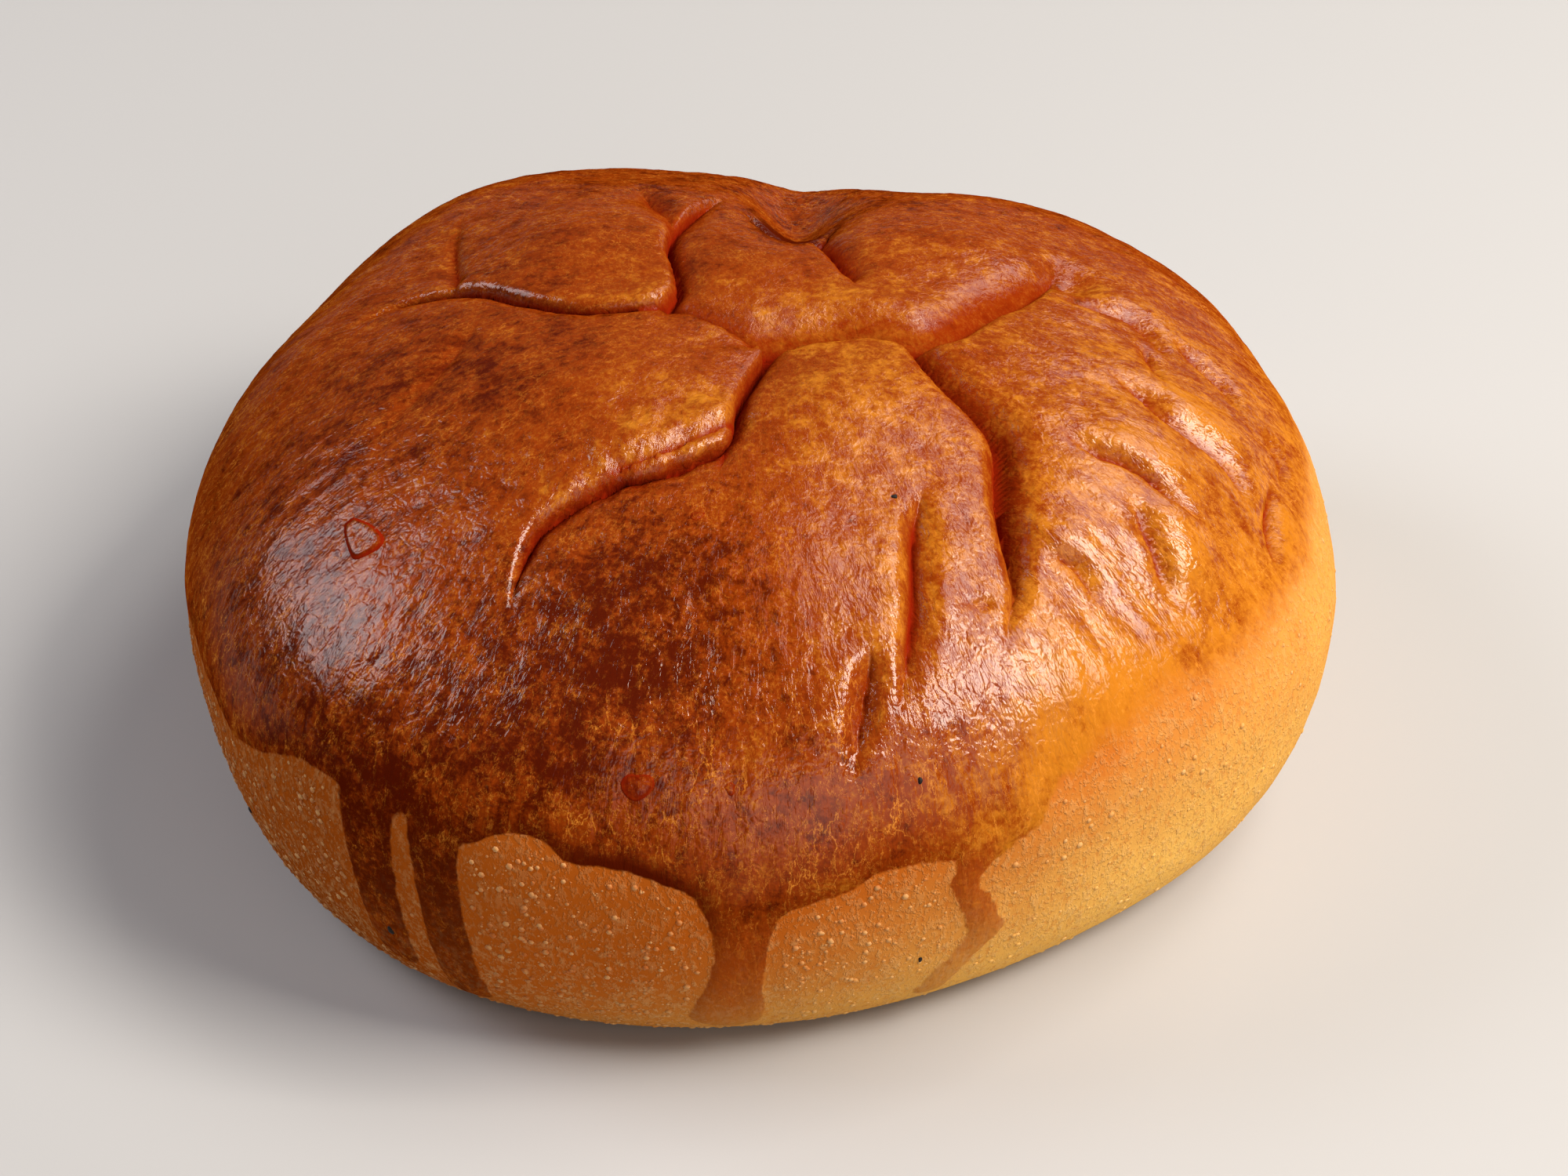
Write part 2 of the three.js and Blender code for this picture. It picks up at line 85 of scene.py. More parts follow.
PLEATS = {
    "back over front": Pleat(
        [(1.5, -5), (6, -3.8), (11, -2.8), (14.8, -3.6), (18, -2.6), (20.5, -0.6), (23.5, 3.8),
         (26, 6.6), (28, 10.5), (29.2, 15), (30, 20)],
        3.6, 5.5, 1.8, fade_out=0.35, open=0.45, lap=1.0),
    "left gap": Pleat([(1.5, -5), (0.5, -7.5), (-0.8, -11.2), (-1.8, -14.6), (-2.2, -17), (-2.6, -20),
                       (-3.4, -23)],
                      4.4, 2.6, 1.4, fade_out=0.3, lap=0.9),
    "left lip": Pleat([(-2.2, -17), (-2.8, -20), (-4.8, -21.8), (-8, -23.4), (-12.6, -24.7), (-16, -26.6),
                       (-19, -28.8), (-20.3, -31.5), (-21.2, -35), (-21.8, -39)],
                      2.8, 3.2, 1.7, fade_out=0.35, lip=0.5, lap=1.0),
    "left over back": Pleat([(1.5, -5), (-0.2, -4.2), (-2, -2.8), (-4.6, -1.6), (-8.8, 0.6)],
                            2.8, 1.4, 4, fade_out=0.02, lap=-0.9),
    "left from back": Pleat(
        [(-8.8, 0.6), (-12, 0.5), (-16.5, 0.4), (-20.2, 1.6), (-23.8, 3.5), (-27, 6.1), (-30.5, 7.9),
         (-35, 8.6), (-39.5, 8), (-43, 6)],
        2.0, 3, 1.3, fade_out=0.45, lip=0.3, lap=0.8),
    "back left": Pleat([(-8.8, 0.6), (-7.9, 4), (-8, 8), (-8.4, 10.5), (-8, 15), (-6.5, 20), (-4.5, 25),
                        (-2, 30)],
                       3.0, 1.5, 4, fade_out=0.5, lip=-0.3, lap=-0.8),
    "back fork": Pleat([(-8, 13), (-9.4, 20), (-11, 25.5), (-12.6, 30.6)], 1.5, 3, 3, 0.1, 0.5, open=0.7),
    "left edge": Pleat([(-30.2, 8), (-31.2, 14), (-31.2, 20), (-30, 26)], 1.0, 3, 1.5, 0.1, 0.5),
    "back notch": Pleat([(-1.4, 26), (1, 20.8), (2.8, 18.2), (4.8, 16.6), (7, 18.5), (8.4, 24)],
                        3.6, 3.5, 1.3, 0.3, 0.4, open=0.2, lap=0.8),
    "back wedge": Pleat([(9.6, 4.2), (8.8, 7), (7.9, 11), (7.6, 16), (8, 22), (9, 28)],
                        2.4, 1.5, 3, 0.15, 0.5, open=0.4),
    "right valley": Pleat(
        [(14.8, -3.6), (16.5, -6.6), (19.2, -10.6), (22, -13.8), (23.7, -16.6), (24.1, -20.5),
         (24.4, -24.5), (25.1, -28.5), (25.9, -32.5), (26.1, -35.6), (25.4, -39), (25, -43)],
        3.8, 3.2, 2, fade_out=0.4, open=0.5, lip=0.2),
    "front step": Pleat([(16.8, -24.5), (16.2, -28.5), (15.8, -32.5), (15.8, -38.8), (15.4, -43.2),
                         (14.9, -47), (14, -52)],
                        1.5, 3, 1.9, 0.25, 0.4, open=0.6, lip=0.4),
    "low front step": Pleat([(11.6, -43), (11.3, -47), (10.8, -51), (10, -56.5)],
                            1.3, 2.2, 2.6, 0.35, 0.4, open=0.6, lip=0.3),
    "right upper": Pleat(
        [(33, -2.4), (36.8, -5), (39, -7.4), (42, -8.8), (45.4, -9.8), (47.4, -11.6), (48.4, -15)],
        1.4, 3.2, 1.1, 0.3, 0.35, open=0.8, lip=-0.5),
    "right middle": Pleat(
        [(27.5, -12.6), (29, -14.4), (32.2, -16), (34.8, -16.4), (37.6, -17.6), (40.6, -19.2), (44.2, -21)],
        1.1, 2.6, 1.1, 0.35, 0.4, open=0.8, lip=-0.4),
    "right lower": Pleat(
        [(35.2, -19.4), (37, -23.2), (38.6, -25.6), (40.2, -28.6), (42, -31.4)],
        1, 2.6, 1.1, 0.35, 0.4, open=0.7, lip=-0.4),
    "right inner": Pleat(
        [(27.4, -29.6), (29.4, -29.9), (31.4, -30.6), (33, -32.4), (34.6, -35)],
        0.8, 2.4, 1.2, 0.35, 0.45, open=0.7, lip=-0.3),
    "right crown": Pleat(
        [(29, 8.6), (32, 10), (35.8, 10.4), (38.4, 9.4), (40.2, 7), (42, 4)],
        1, 2.6, 1.2, 0.35, 0.4, open=0.7, lip=-0.4),
    "right short": Pleat(
        [(37.6, 6.4), (38.8, 4), (39.4, 1), (39.6, -2.4)],
        0.7, 1.4, 2.2, 0.35, 0.4, open=0.5, lip=0.3),
    "right top": Pleat(
        [(41, 10), (44.5, 7), (47.5, 4), (49, 0)],
        0.9, 2.4, 1.2, 0.35, 0.4, open=0.7, lip=-0.4),
    "right rim": Pleat(
        [(50.4, -0.2), (52.6, -1.2), (53.8, -4.4), (53, -8)],
        0.9, 2, 1.2, 0.3, 0.4, open=0.5, lip=-0.2),
    "right outer": Pleat(
        [(51.8, -7.6), (51.4, -12), (51.8, -16), (53.4, -20.5)],
        1.1, 2.2, 1.4, 0.3, 0.35, open=0.6, lip=-0.4),
    "left faint": Pleat([(-26.6, 1), (-28.7, -4.2), (-30.6, -8), (-33.5, -13), (-36, -18)],
                        0.8, 4, 3, 0.3, 0.5, open=0.7),
    "lip notch": Pleat([(-2.3, -19.5), (-2.7, -22.5), (-3.4, -26)], 1.2, 1.4, 1.4, 0, 0.6, open=0.3),
}
WIDE_SHARE = 0.12  # share of a pleat's depth that reaches out far
WIDE_REACH = 3.2  # times the flank's own reach
END_WIDTH = 0.4  # a pleat's width where it runs out, as a share of its full width
CREASE_WIDTH = 0.55  # mm, how near a pleat's line the crust counts as its crease
SHARP_REACH = 1.9  # mm, a pleat with no flank as short as this has no crease
RIM_REACH = 1.5  # times the flank's own reach, over which a rim and a lap die away beyond it
LAP_START = 0.12  # share of a pleat's length over which its lap grows
NEAR_REACH = 5  # times a pleat's wider flank, how far off it is still worked out
JOIN_POWER = 4  # how sharply crossing pleats join

# Folds too fine for the solid
FINE_FOLDS = {
    "lip ledge": Pleat([(-2.4, -17.6), (-4.8, -19), (-8.6, -21.3), (-12.6, -23), (-16, -24.8)],
                       1.2, 1.0, 1.6, 0.05, 0.35, lip=0.5),
    "cross crease": Pleat([(19.6, -38.4), (24.4, -37.2)], 0.5, 0.8, 1.5, 0.4, 0.2, open=0.5),
}

# Swellings and hollows: middle u, v, spread u, v, height
SWELLINGS = {
    "front flap": (8.5, -12, 9, 8, 1.2),
    "left flap": (-13, -12, 14, 10, 1.0),
    "back left flap": (-19, 12, 10, 9, 1.5),
    "back right flap": (21, 13, 9, 8, 1.2),
    "back flap": (0, 8, 7, 8, 0.5),
    "back roll": (12, 1.5, 8, 4, 1.2),
    "right flap": (36, -12, 10, 12, 1.0),
    "right ridge": (42, -5, 5, 3, 0.6),
    "right fold": (36, -1.5, 4, 3, 0.5),
    "beside valley": (27.5, -12.5, 4, 3, 0.5),
    "right band": (37, -14.4, 6, 2.2, 0.35),
    "right cheek": (40.6, -23.6, 4, 4.5, 0.8),
    "inner cheek": (30, -26.5, 4, 3.5, 0.6),
    "right shoulder": (32, -43, 7, 8, 0.9),
    "back lobe": (-14, 38, 14, 14, -1.0),
    "gathered middle": (2, -4, 12, 11, -1.6),
    "back hollow": (5.1, 32, 4.9, 14, -4.0),
    "right pit": (31, 14, 2.5, 2.5, -1.8),
}

# ---------------------------------------------------------------- the glaze
# Where the glaze ends: direction in degrees, mm down the skin
GLAZE_EDGE = (
    (-172, 68), (-162, 67), (-151, 66.8), (-145.6, 68.3), (-140.7, 66.7), (-135, 63.8), (-131, 63.4),
    (-121.8, 63), (-115.5, 64.2), (-112.6, 62.4), (-109, 62.2), (-106.8, 64.3), (-101.2, 64.6),
    (-95.5, 66.7), (-90, 69), (-85.3, 68.8), (-80.7, 67.9), (-78, 66.2), (-71.8, 66.1), (-66, 67),
    (-62, 66), (-58.7, 62.3), (-53.5, 60.5), (-46.8, 59.6), (-43.5, 58.4), (-40.3, 58.5), (-36, 59.5),
    (-28, 58.5), (-22, 58.5), (-15, 59), (-8, 58.5), (0, 59), (8, 60), (18, 62), (30, 66), (45, 63),
    (60, 66), (80, 62), (100, 66), (120, 63), (140, 67), (160, 65), (175, 68),
)
# Runs of glaze: mm down the skin, direction in degrees, half width in mm
RUNS = {
    "front": ((66, -90.6, 4.4), (70, -90.8, 3.0), (74, -91, 2.3), (78, -91.6, 2.5), (84, -92.6, 3.4)),
    "left": ((61, -126.4, 2.9), (69, -126, 2.4), (82, -125.4, 2.1)),
    "left again": ((59, -119.4, 2.5), (69, -118.8, 2.2), (85, -118.2, 2.0)),
    "right": ((61, -63.8, 2.8), (66, -67.2, 2.0), (69.5, -69.5, 1.4), (73, -67.8, 1.6), (77, -66.2, 2.0),
              (81, -69.2, 1.9), (85, -71, 1.8)),
    "back": ((62, 48, 2.6), (72, 49, 2.2), (82, 49, 1.8)),
    "back again": ((62, 104, 3.0), (74, 105, 2.4), (84, 106, 2.8)),
    "back left": ((62, 152, 2.2), (70, 153, 1.9), (77, 153, 1.5)),
}
POOLED_WAY, POOLED_SPREAD = -101, 9  # degrees, where the glaze pooled darkest along its edge
SOFT_WAY, SOFT_SPREAD = -16, 34  # degrees, where the edge is soft
EDGE_FINENESS = 4  # places in a degree at which the glaze's edge is worked out
EDGE_AVERAGE = 13  # of those places are averaged, so that the edge has no corners
RUN_JOIN = 1.2  # mm squared, how smoothly a run leaves the edge
RUN_GROWTH = 20  # mm over which a run grows to its full thickness
SHEET_SHARE = 0.35  # thickness of the glaze between the runs, as a share of a run's
GLAZE_END = 1.2  # mm over which the glaze thins out at its edge
GLAZE_OVERHANG = 0.3  # share of that width that lies beyond the edge
FOOT_FADE = 4  # mm up from the foot over which the glaze thins to nothing
BARE = -6  # mm, stands for a place far outside the glaze

# Lighter and darker patches of the glaze: middle u, v, spread u, v, change of tone
TONES = {
    "golden front flap": (8, -18, 9, 11, 0.14),
    "golden front": (9, -36, 8, 14, 0.16),
    "golden left lip": (-9, -15, 9, 7, 0.22),
    "golden back flap": (6, 1, 10, 6, 0.22),
    "golden right": (40, -16, 14, 18, 0.2),
    "golden right shoulder": (34, -46, 12, 14, 0.34),
    "dark front left": (-18, -46, 15, 15, -0.30),
    "dark front": (-6, -40, 9, 12, -0.16),
    "dark left": (-44, -30, 14, 22, -0.16),
    "dark left flap": (-26, -9, 11, 9, -0.20),
    "dark back": (0, 40, 50, 14, -0.10),
    "dark left runs": (-38, -62, 12, 16, -0.35),
    # Painted shade: the hole of the back notch darkened
    "painted shade in back hole": (3.5, 22, 3.2, 4.5, -1.6),
}

# Where the crust is rumpled: middle u, v, spread u, v, strength
RUMPLES = {
    "right": (38, -17, 15, 17, 1.0),
    "right shoulder": (31, -42, 10, 9, 0.5),
    "left lip": (-13, -24, 10, 4, 1.7),
    "left lip tip": (-7, -16.5, 6, 4, 1.5),
    "front step": (16, -41, 3.5, 12, 0.7),
    "left": (-38, -30, 12, 14, 0.45),
}

# Where the glaze is dull, and where it lies calm without crinkles: middle u, v, spread u, v, strength
DULL = {
    "front": (0, -39, 7.5, 13, 0.9),
    "left": (-57, -10, 14, 26, 1.0),
    "step wall": (17.6, -34, 1.3, 10, 0.9),
    "valley wall": (26.8, -25, 1.6, 9, 0.8),
    "upper valley": (18, -9, 2.5, 5, 0.9),
    "middle valley": (22.5, -15, 2.2, 5, 0.9),
    "lower valley": (24.5, -22, 2, 6, 0.8),
}
CALM = {
    "left flap": (-22, -8, 15, 12, 0.7),
    "back left flap": (-20, 15, 16, 13, 0.8),
    "back flap": (2, 12, 14, 12, 0.7),
    "back roll": (24, 12, 12, 12, 0.6),
    "far left": (-48, 8, 14, 24, 0.8),
}

# ---------------------------------------------------------------- small things on the skin
FLAKE = ((-36.8, -24.6), (-37.6, -25.2), (-37.2, -27.2), (-36.3, -28.9), (-34.2, -28.6), (-33.7, -27.6),
         (-34.9, -26))
BUBBLES = ((-5, -30.2, 0.55), (-10.8, -56, 1.3), (-2, -57, 0.5))  # u, v, radius
SPECKS = ((13.8, -27.2, 0.3), (-45.4, -64.6, 0.5), (17, -55.8, 0.3), (22.8, -75.6, 0.35),
          (-66.6, -42.4, 0.5))  # u, v, radius
# Rings from the outside in: share of the outline, mm above the crust, how deep in colour
# The colour depth is read as a fold's depth: the dark sunken rings get a fold's painted shade and pooled
# glaze
FLAKE_RINGS = ((1.14, -0.2, 3), (1.12, 0.02, 3.4), (0.98, 0.02, 3.4), (0.92, 0.18, 1.2), (0.8, 0.22, 0),
               (0.5, 0.14, 0), (0, 0.1, 0))
BUBBLE_RINGS = ((1.1, -0.2, 2), (1.05, 0.02, 2.4), (0.9, 0.03, 2.2), (0.75, 0.07, 1.2), (0.4, 0.1, 0.8),
                (0, 0.11, 0.8))
SPECK_RINGS = ((1, -0.1, 0), (0.85, 0.08, 0), (0.5, 0.14, 0), (0, 0.16, 0))

# ---------------------------------------------------------------- the mesh
SIDE_POINTS = 300  # points along a side of the square net that is laid over the dome
CLOSE_SHARE = 0.75  # share of the net that covers the top
CLOSE_REACH = 62.0  # mm down the skin that this share covers
GRAIN_RADIUS, GRAIN_REACH, GRAIN_DOWN = 55.0, 20.0, 0.4  # mm, mm, and the share of the way down
DRAW_WIDTH = 0.45  # mm, how near a fold the net is drawn onto its line
UNDERSIDE_RINGS = (0.985, 0.8, 0.45)  # shares of the foot's outline
PROFILE_STEPS = 400  # in each quarter of the dome's section
LINE_STEPS = 8  # straight pieces between two points of a pleat's line
NORMAL_STEP = 0.05  # mm over which the dome's slope is measured
LINE_ENDS = 0.001  # share of a line at each end that nothing is drawn onto
PATCH_CORNERS = 20  # round a bubble or a speck


# ================================================================ settings
class BunShape(bpy.types.PropertyGroup):
    """Sizes of the bun"""
    radius: FloatProperty(name="Mean radius", description="Radius at the widest level, before the lobes",
                          default=56.7 * MM, unit="LENGTH", precision=4)
    height: FloatProperty(name="Height", description="Height of the crown before the swellings",
                          default=49.5 * MM, unit="LENGTH", precision=4)
    widest: FloatProperty(name="Widest level", description="Height at which the bun is widest",
                          default=22 * MM, unit="LENGTH", precision=4)
    wrinkle: FloatProperty(name="Wrinkle height", description="Height of the wrinkles in the glaze",
                           default=0.12 * MM, unit="LENGTH", precision=5)
    rumple: FloatProperty(name="Rumple height", description="Height of the knobs where it is rumpled",
                          default=0.6 * MM, unit="LENGTH", precision=5)
    lump: FloatProperty(name="Lump height", description="Height of the broad unevenness of the crust",
                        default=0.22 * MM, unit="LENGTH", precision=5)
    glaze_thickness: FloatProperty(name="Glaze thickness", description="Thickness of a run of glaze",
                                   default=0.25 * MM, unit="LENGTH", precision=5)
    blisters: IntProperty(name="Blisters", description="Blisters per square centimetre of bare flank",
                          default=135, min=0)
    least_blister: FloatProperty(name="Smallest blister", description="Radius of the smallest blister",
                                 default=0.08 * MM, unit="LENGTH", precision=5)
    largest_blister: FloatProperty(name="Largest blister", description="Radius of the largest blister",
                                   default=0.40 * MM, unit="LENGTH", precision=5)
    seed: IntProperty(name="Seed", description="Start of every random draw", default=7)


class BunColours(bpy.types.PropertyGroup):
    """Colours of the bun and the stage"""
    deep: FloatVectorProperty(name="Deep glaze", description="Glaze where it pooled or scorched",
                              subtype="COLOR", default=(0.075, 0.006, 0.0005))
    amber: FloatVectorProperty(name="Amber glaze", description="Most of the glaze", subtype="COLOR",
                               default=(0.225, 0.030, 0.0016))
    gold: FloatVectorProperty(name="Golden glaze", description="Thin glaze on a swelling", subtype="COLOR",
                              default=(0.46, 0.145, 0.009))
    fibre: FloatVectorProperty(name="Golden threads", description="Fine threads where the skin stretched",
                               subtype="COLOR", default=(0.60, 0.205, 0.022))
    flank: FloatVectorProperty(name="Bare crust", description="Matte crust without glaze", subtype="COLOR",
                               default=(0.80, 0.45, 0.10))
    # Browned crust, which also stands for painted shade on the left and far right flank
    browned_and_shade: FloatVectorProperty(name="Deeper bare crust", description="Bare crust that browned more",
                                subtype="COLOR", default=(0.45, 0.098, 0.008))
    dried: FloatVectorProperty(name="Dried glaze", description="Thin glaze where a run dried",
                               subtype="COLOR", default=(0.34, 0.052, 0.004))
    # Hollows: painted shade deep in folds, with the darker glaze that pooled there
    hollow: FloatVectorProperty(name="Hollows", description="Glaze deep inside a fold", subtype="COLOR",
                                default=(0.21, 0.010, 0.0015))
    pale: FloatVectorProperty(name="Blisters", description="Pale blisters of the bare crust",
                              subtype="COLOR", default=(0.66, 0.40, 0.16))
    scorched: FloatVectorProperty(name="Scorched", description="Scorched specks", subtype="COLOR",
                                  default=(0.012, 0.007, 0.005))
    floor: FloatVectorProperty(name="Floor", description="Plain floor", subtype="COLOR",
                               default=(0.46, 0.447, 0.435))


# ================================================================ form
def ease(x):
    """A smooth step from 0 to 1."""
    x = np.clip(x, 0.0, 1.0)
    return x * x * (3 - 2 * x)


class Dome:
    """The plain dome: half its section, measured along the skin, and its outline from above."""

    def __init__(self, shape):
        self.radius, self.height, self.widest = (x / MM for x in (shape.radius, shape.height, shape.widest))
        turn = np.linspace(0, math.pi / 2, PROFILE_STEPS + 1)
        upper = np.sin(turn) ** (2 / TOP_POWER)
        lower = FOOT_SHARE + (1 - FOOT_SHARE) * np.cos(turn) ** (2 / FOOT_POWER)
        self.shares = np.concatenate([upper, lower[1:]])
        rise = self.widest + (self.height - self.widest) * np.cos(turn) ** (2 / TOP_POWER)
        fall = self.widest * (1 - np.sin(turn) ** (2 / FOOT_POWER))
        self.heights = np.concatenate([rise, fall[1:]])
        pieces = np.hypot(np.diff(self.shares * self.radius), np.diff(self.heights))
        self.along = np.concatenate([[0], np.cumsum(pieces)])
        self.foot = self.along[-1]

    def outline(self, angle):
        waves = [share * np.cos(count * (angle - math.radians(towards))) for count, share, towards in LOBES]
        return self.radius * (1 + sum(waves))

    def point(self, u, v):
        angle, reach = np.arctan2(v, u), np.hypot(u, v)
        radius = np.interp(reach, self.along, self.shares) * self.outline(angle)
        x, y = radius * np.cos(angle), radius * np.sin(angle)
        lean = 1 + (LEAN[0] * x + LEAN[1] * y) / self.radius
        z = np.interp(reach, self.along, self.heights) * lean
        return np.stack([x + CROWN[0], y + CROWN[1], z], -1)

    def normal(self, u, v):
        along_u = self.point(u + NORMAL_STEP, v) - self.point(u - NORMAL_STEP, v)
        along_v = self.point(u, v + NORMAL_STEP) - self.point(u, v - NORMAL_STEP)
        normal = np.cross(along_u, along_v)
        return normal / np.linalg.norm(normal, axis=-1, keepdims=True)


def spline(points, steps=LINE_STEPS):
    """Points of a smooth line through the given ones."""
    p = np.array([points[0], *points, points[-1]], float)
    t = (np.arange(steps) / steps)[:, None]
    bends = []
    for a, b, c, d in zip(p, p[1:], p[2:], p[3:]):
        bends.append(0.5 * (2 * b + (c - a) * t + (2 * a - 5 * b + 4 * c - d) * t ** 2
                            + (3 * b - a - 3 * c + d) * t ** 3))
    return np.vstack([*bends, p[-1:]])


def beside(line, u, v):
    """Distance of each place from a line, the side it is on (1 left, -1 right), its share of the line's
    length, and the direction to the line's left there."""
    bends = spline(line)
    pieces = np.diff(bends, axis=0)
    lengths = np.hypot(pieces[:, 0], pieces[:, 1])
    starts = np.concatenate([[0], np.cumsum(lengths)])
    distance = np.full(u.shape, np.inf)
    side, share = np.ones(u.shape), np.zeros(u.shape)
    left = np.zeros(u.shape + (2,))
    for (x, y), (dx, dy), length, start in zip(bends, pieces, lengths, starts):
        tx, ty = dx / length, dy / length
        forward = np.clip((u - x) * tx + (v - y) * ty, 0, length)
        du, dv = u - x - tx * forward, v - y - ty * forward
        away = np.hypot(du, dv)
        nearer = away < distance
        distance[nearer] = away[nearer]
        side[nearer] = np.where(dv * tx - du * ty >= 0, 1.0, -1.0)[nearer]
        share[nearer] = ((start + forward) / starts[-1])[nearer]
        left[nearer] = (-ty, tx)
    return distance, side, share, left


class Folds:
    """What the pleats do to places on the skin: how deep they cut, how high their rims stand, how far they
    push a flap over its neighbour, and how near the bottom of a crease a place is."""

    def __init__(self, pleats, u, v):
        depth, self.rims, self.crease = np.zeros(u.shape), np.zeros(u.shape), np.zeros(u.shape)
        self.push_u, self.push_v = np.zeros(u.shape), np.zeros(u.shape)
        for pleat in pleats:
            near = np.flatnonzero(self.close(pleat, u, v))
            distance, side, share, left = beside(pleat.line, u[near], v[near])
            strength = ease((1 - share) / pleat.fade_out)
            if pleat.fade_in:
                strength = strength * ease(share / pleat.fade_in)
            reach = np.where(side > 0, pleat.left, pleat.right) * (END_WIDTH + (1 - END_WIDTH) * strength)
            across = distance / reach
            inward = 1 - np.clip(across, 0, 1)
            shoulder = np.sqrt(1 - inward ** 2)
            fall = pleat.open * inward ** 1.5 + (1 - pleat.open) * (1 - shoulder)
            fall = (1 - WIDE_SHARE) * fall + WIDE_SHARE * (1 - ease(across / WIDE_REACH))
            depth[near] += (pleat.depth * strength * fall) ** JOIN_POWER
            if min(pleat.left, pleat.right) <= SHARP_REACH:
                crease = strength ** 0.5 * np.exp(-(distance / CREASE_WIDTH) ** 2)
                self.crease[near] = np.maximum(self.crease[near], crease)
            inland = np.exp(-(np.maximum(across - 1, 0) / RIM_REACH) ** 2)
            on_rim = side * pleat.lip < 0
            self.rims[near] += np.where(on_rim, abs(pleat.lip) * strength * ease(across) * inland, 0)
            lapping = side * pleat.lap < 0
            lap = pleat.lap * strength * ease(share / LAP_START)
            push = np.where(lapping, lap * shoulder * inland, 0)
            self.push_u[near] += left[:, 0] * push
            self.push_v[near] += left[:, 1] * push
        self.depth = depth ** (1 / JOIN_POWER)

    @staticmethod
    def close(pleat, u, v):
        """Which places a pleat can reach."""
        low, high = np.min(pleat.line, axis=0), np.max(pleat.line, axis=0)
        margin = NEAR_REACH * max(pleat.left, pleat.right)
        return ((u > low[0] - margin) & (u < high[0] + margin)
                & (v > low[1] - margin) & (v < high[1] + margin))


def draw_to_folds(pleats, u, v):
    """Moves places that are very near a fold onto its line, so that edges of the net run along it."""
    for pleat in pleats:
        distance, side, share, left = beside(pleat.line, u, v)
        pull = side * distance * np.exp(-(distance / DRAW_WIDTH) ** 2)
        pull[(share < LINE_ENDS) | (share > 1 - LINE_ENDS)] = 0
        u, v = u - left[:, 0] * pull, v - left[:, 1] * pull
    return u, v


def mounds(table, u, v):
    """Sum of a table's rounded mounds: middle u, v, spread u, v, height."""
    return sum(h * np.exp(-((u - mu) / su) ** 2 - ((v - mv) / sv) ** 2) for mu, mv, su, sv, h in table)


def unevenness(dome, u, v):
    """Broad waves of the dome, which die away at the foot."""
    broad = BROAD_WAVE * np.sin(0.12 * u + 1.3) * np.sin(0.14 * v + 0.4)
    slanting = SLANTING_WAVE * np.sin(0.23 * u - 0.19 * v + 2.1)
    return (broad + slanting) * ease((dome.foot - np.hypot(u, v)) / UNEVEN_FADE)


def glaze_edge():
    """The glaze's edge without corners: directions in degrees, and mm down the skin in each."""
    directions, ends = zip(*GLAZE_EDGE)
    fine = np.linspace(-180, 180, 360 * EDGE_FINENESS + 1)
    edge = np.interp(fine, directions, ends, period=360)
    window = np.hanning(EDGE_AVERAGE) / np.hanning(EDGE_AVERAGE).sum()
    half = EDGE_AVERAGE // 2
    around = np.concatenate([edge[-half - 1:-1], edge, edge[1:half + 1]])
    return fine, np.convolve(around, window, "valid")


def glaze_distance(dome, u, v):
    """How far inside the glaze a place is, in mm; below zero on the bare flank. Also how far down a run."""
    angle, reach = np.degrees(np.arctan2(v, u)), np.hypot(u, v)
    inside = np.interp(angle, *glaze_edge()) - reach
    radius = np.interp(reach, dome.along, dome.shares) * dome.radius
    run_down = np.zeros(u.shape)
    for run in RUNS.values():
        reaches, ways, widths = zip(*run)
        way = np.interp(reach, reaches, ways)
        aside = np.abs((angle - way + 180) % 360 - 180) * np.radians(1) * radius
        beyond = np.maximum(reach - reaches[-1], 0)
        before = np.maximum(reaches[0] - reach, 0)
        in_run = np.interp(reach, reaches, widths) - np.hypot(aside, beyond) - before
        grown = np.clip((reach - reaches[0]) / RUN_GROWTH, 0, 1)
        run_down = np.maximum(run_down, ease(in_run + 1) * grown)
        inside = 0.5 * (inside + in_run + np.sqrt((inside - in_run) ** 2 + RUN_JOIN))
    return inside, run_down


# ================================================================ the crust's mesh
def net_places(dome):
    """Places on the skin of a square net laid over the dome, closer together on top."""
    line = np.linspace(-1, 1, SIDE_POINTS)
    a, b = np.meshgrid(line, line, indexing="ij")
    share = np.maximum(np.abs(a), np.abs(b))
    with np.errstate(divide="ignore", invalid="ignore"):
        across = np.where(a >= 0, 0, math.pi) + math.pi / 4 * (b / a)
        along = np.where(b >= 0, math.pi / 2, -math.pi / 2) - math.pi / 4 * (a / b)
    angle = np.where(np.abs(a) > np.abs(b), across, along)
    angle[share == 0] = 0
    top = share * CLOSE_REACH / CLOSE_SHARE
    flank = CLOSE_REACH + (share - CLOSE_SHARE) * (dome.foot - CLOSE_REACH) / (1 - CLOSE_SHARE)
    reach = np.where(share < CLOSE_SHARE, top, flank)
    return (reach * np.cos(angle)).ravel(), (reach * np.sin(angle)).ravel()


def net_faces(first_underside):
    """Four-sided faces of the net, and the rings and fan that close the underside."""
    n = SIDE_POINTS
    index = np.arange(n * n).reshape(n, n)
    net = np.stack([index[:-1, :-1], index[1:, :-1], index[1:, 1:], index[:-1, 1:]], -1).reshape(-1, 4)
    rim = np.concatenate([index[:-1, 0], index[-1, :-1], index[:0:-1, -1], index[0, :0:-1]])
    faces, outer = net.tolist(), rim
    for ring in range(len(UNDERSIDE_RINGS)):
        inner = first_underside + ring * len(rim) + np.arange(len(rim))
        faces += np.stack([outer, inner, np.roll(inner, -1), np.roll(outer, -1)], -1).tolist()
        outer = inner
    middle = first_underside + len(UNDERSIDE_RINGS) * len(rim)
    faces += [[int(a), middle, int(b)] for a, b in zip(outer, np.roll(outer, -1))]
    return faces, rim


def turned(u, v, way):
    """Degrees between each place's direction from the crown and another direction."""
    return np.abs((np.degrees(np.arctan2(v, u)) - way + 180) % 360 - 180)


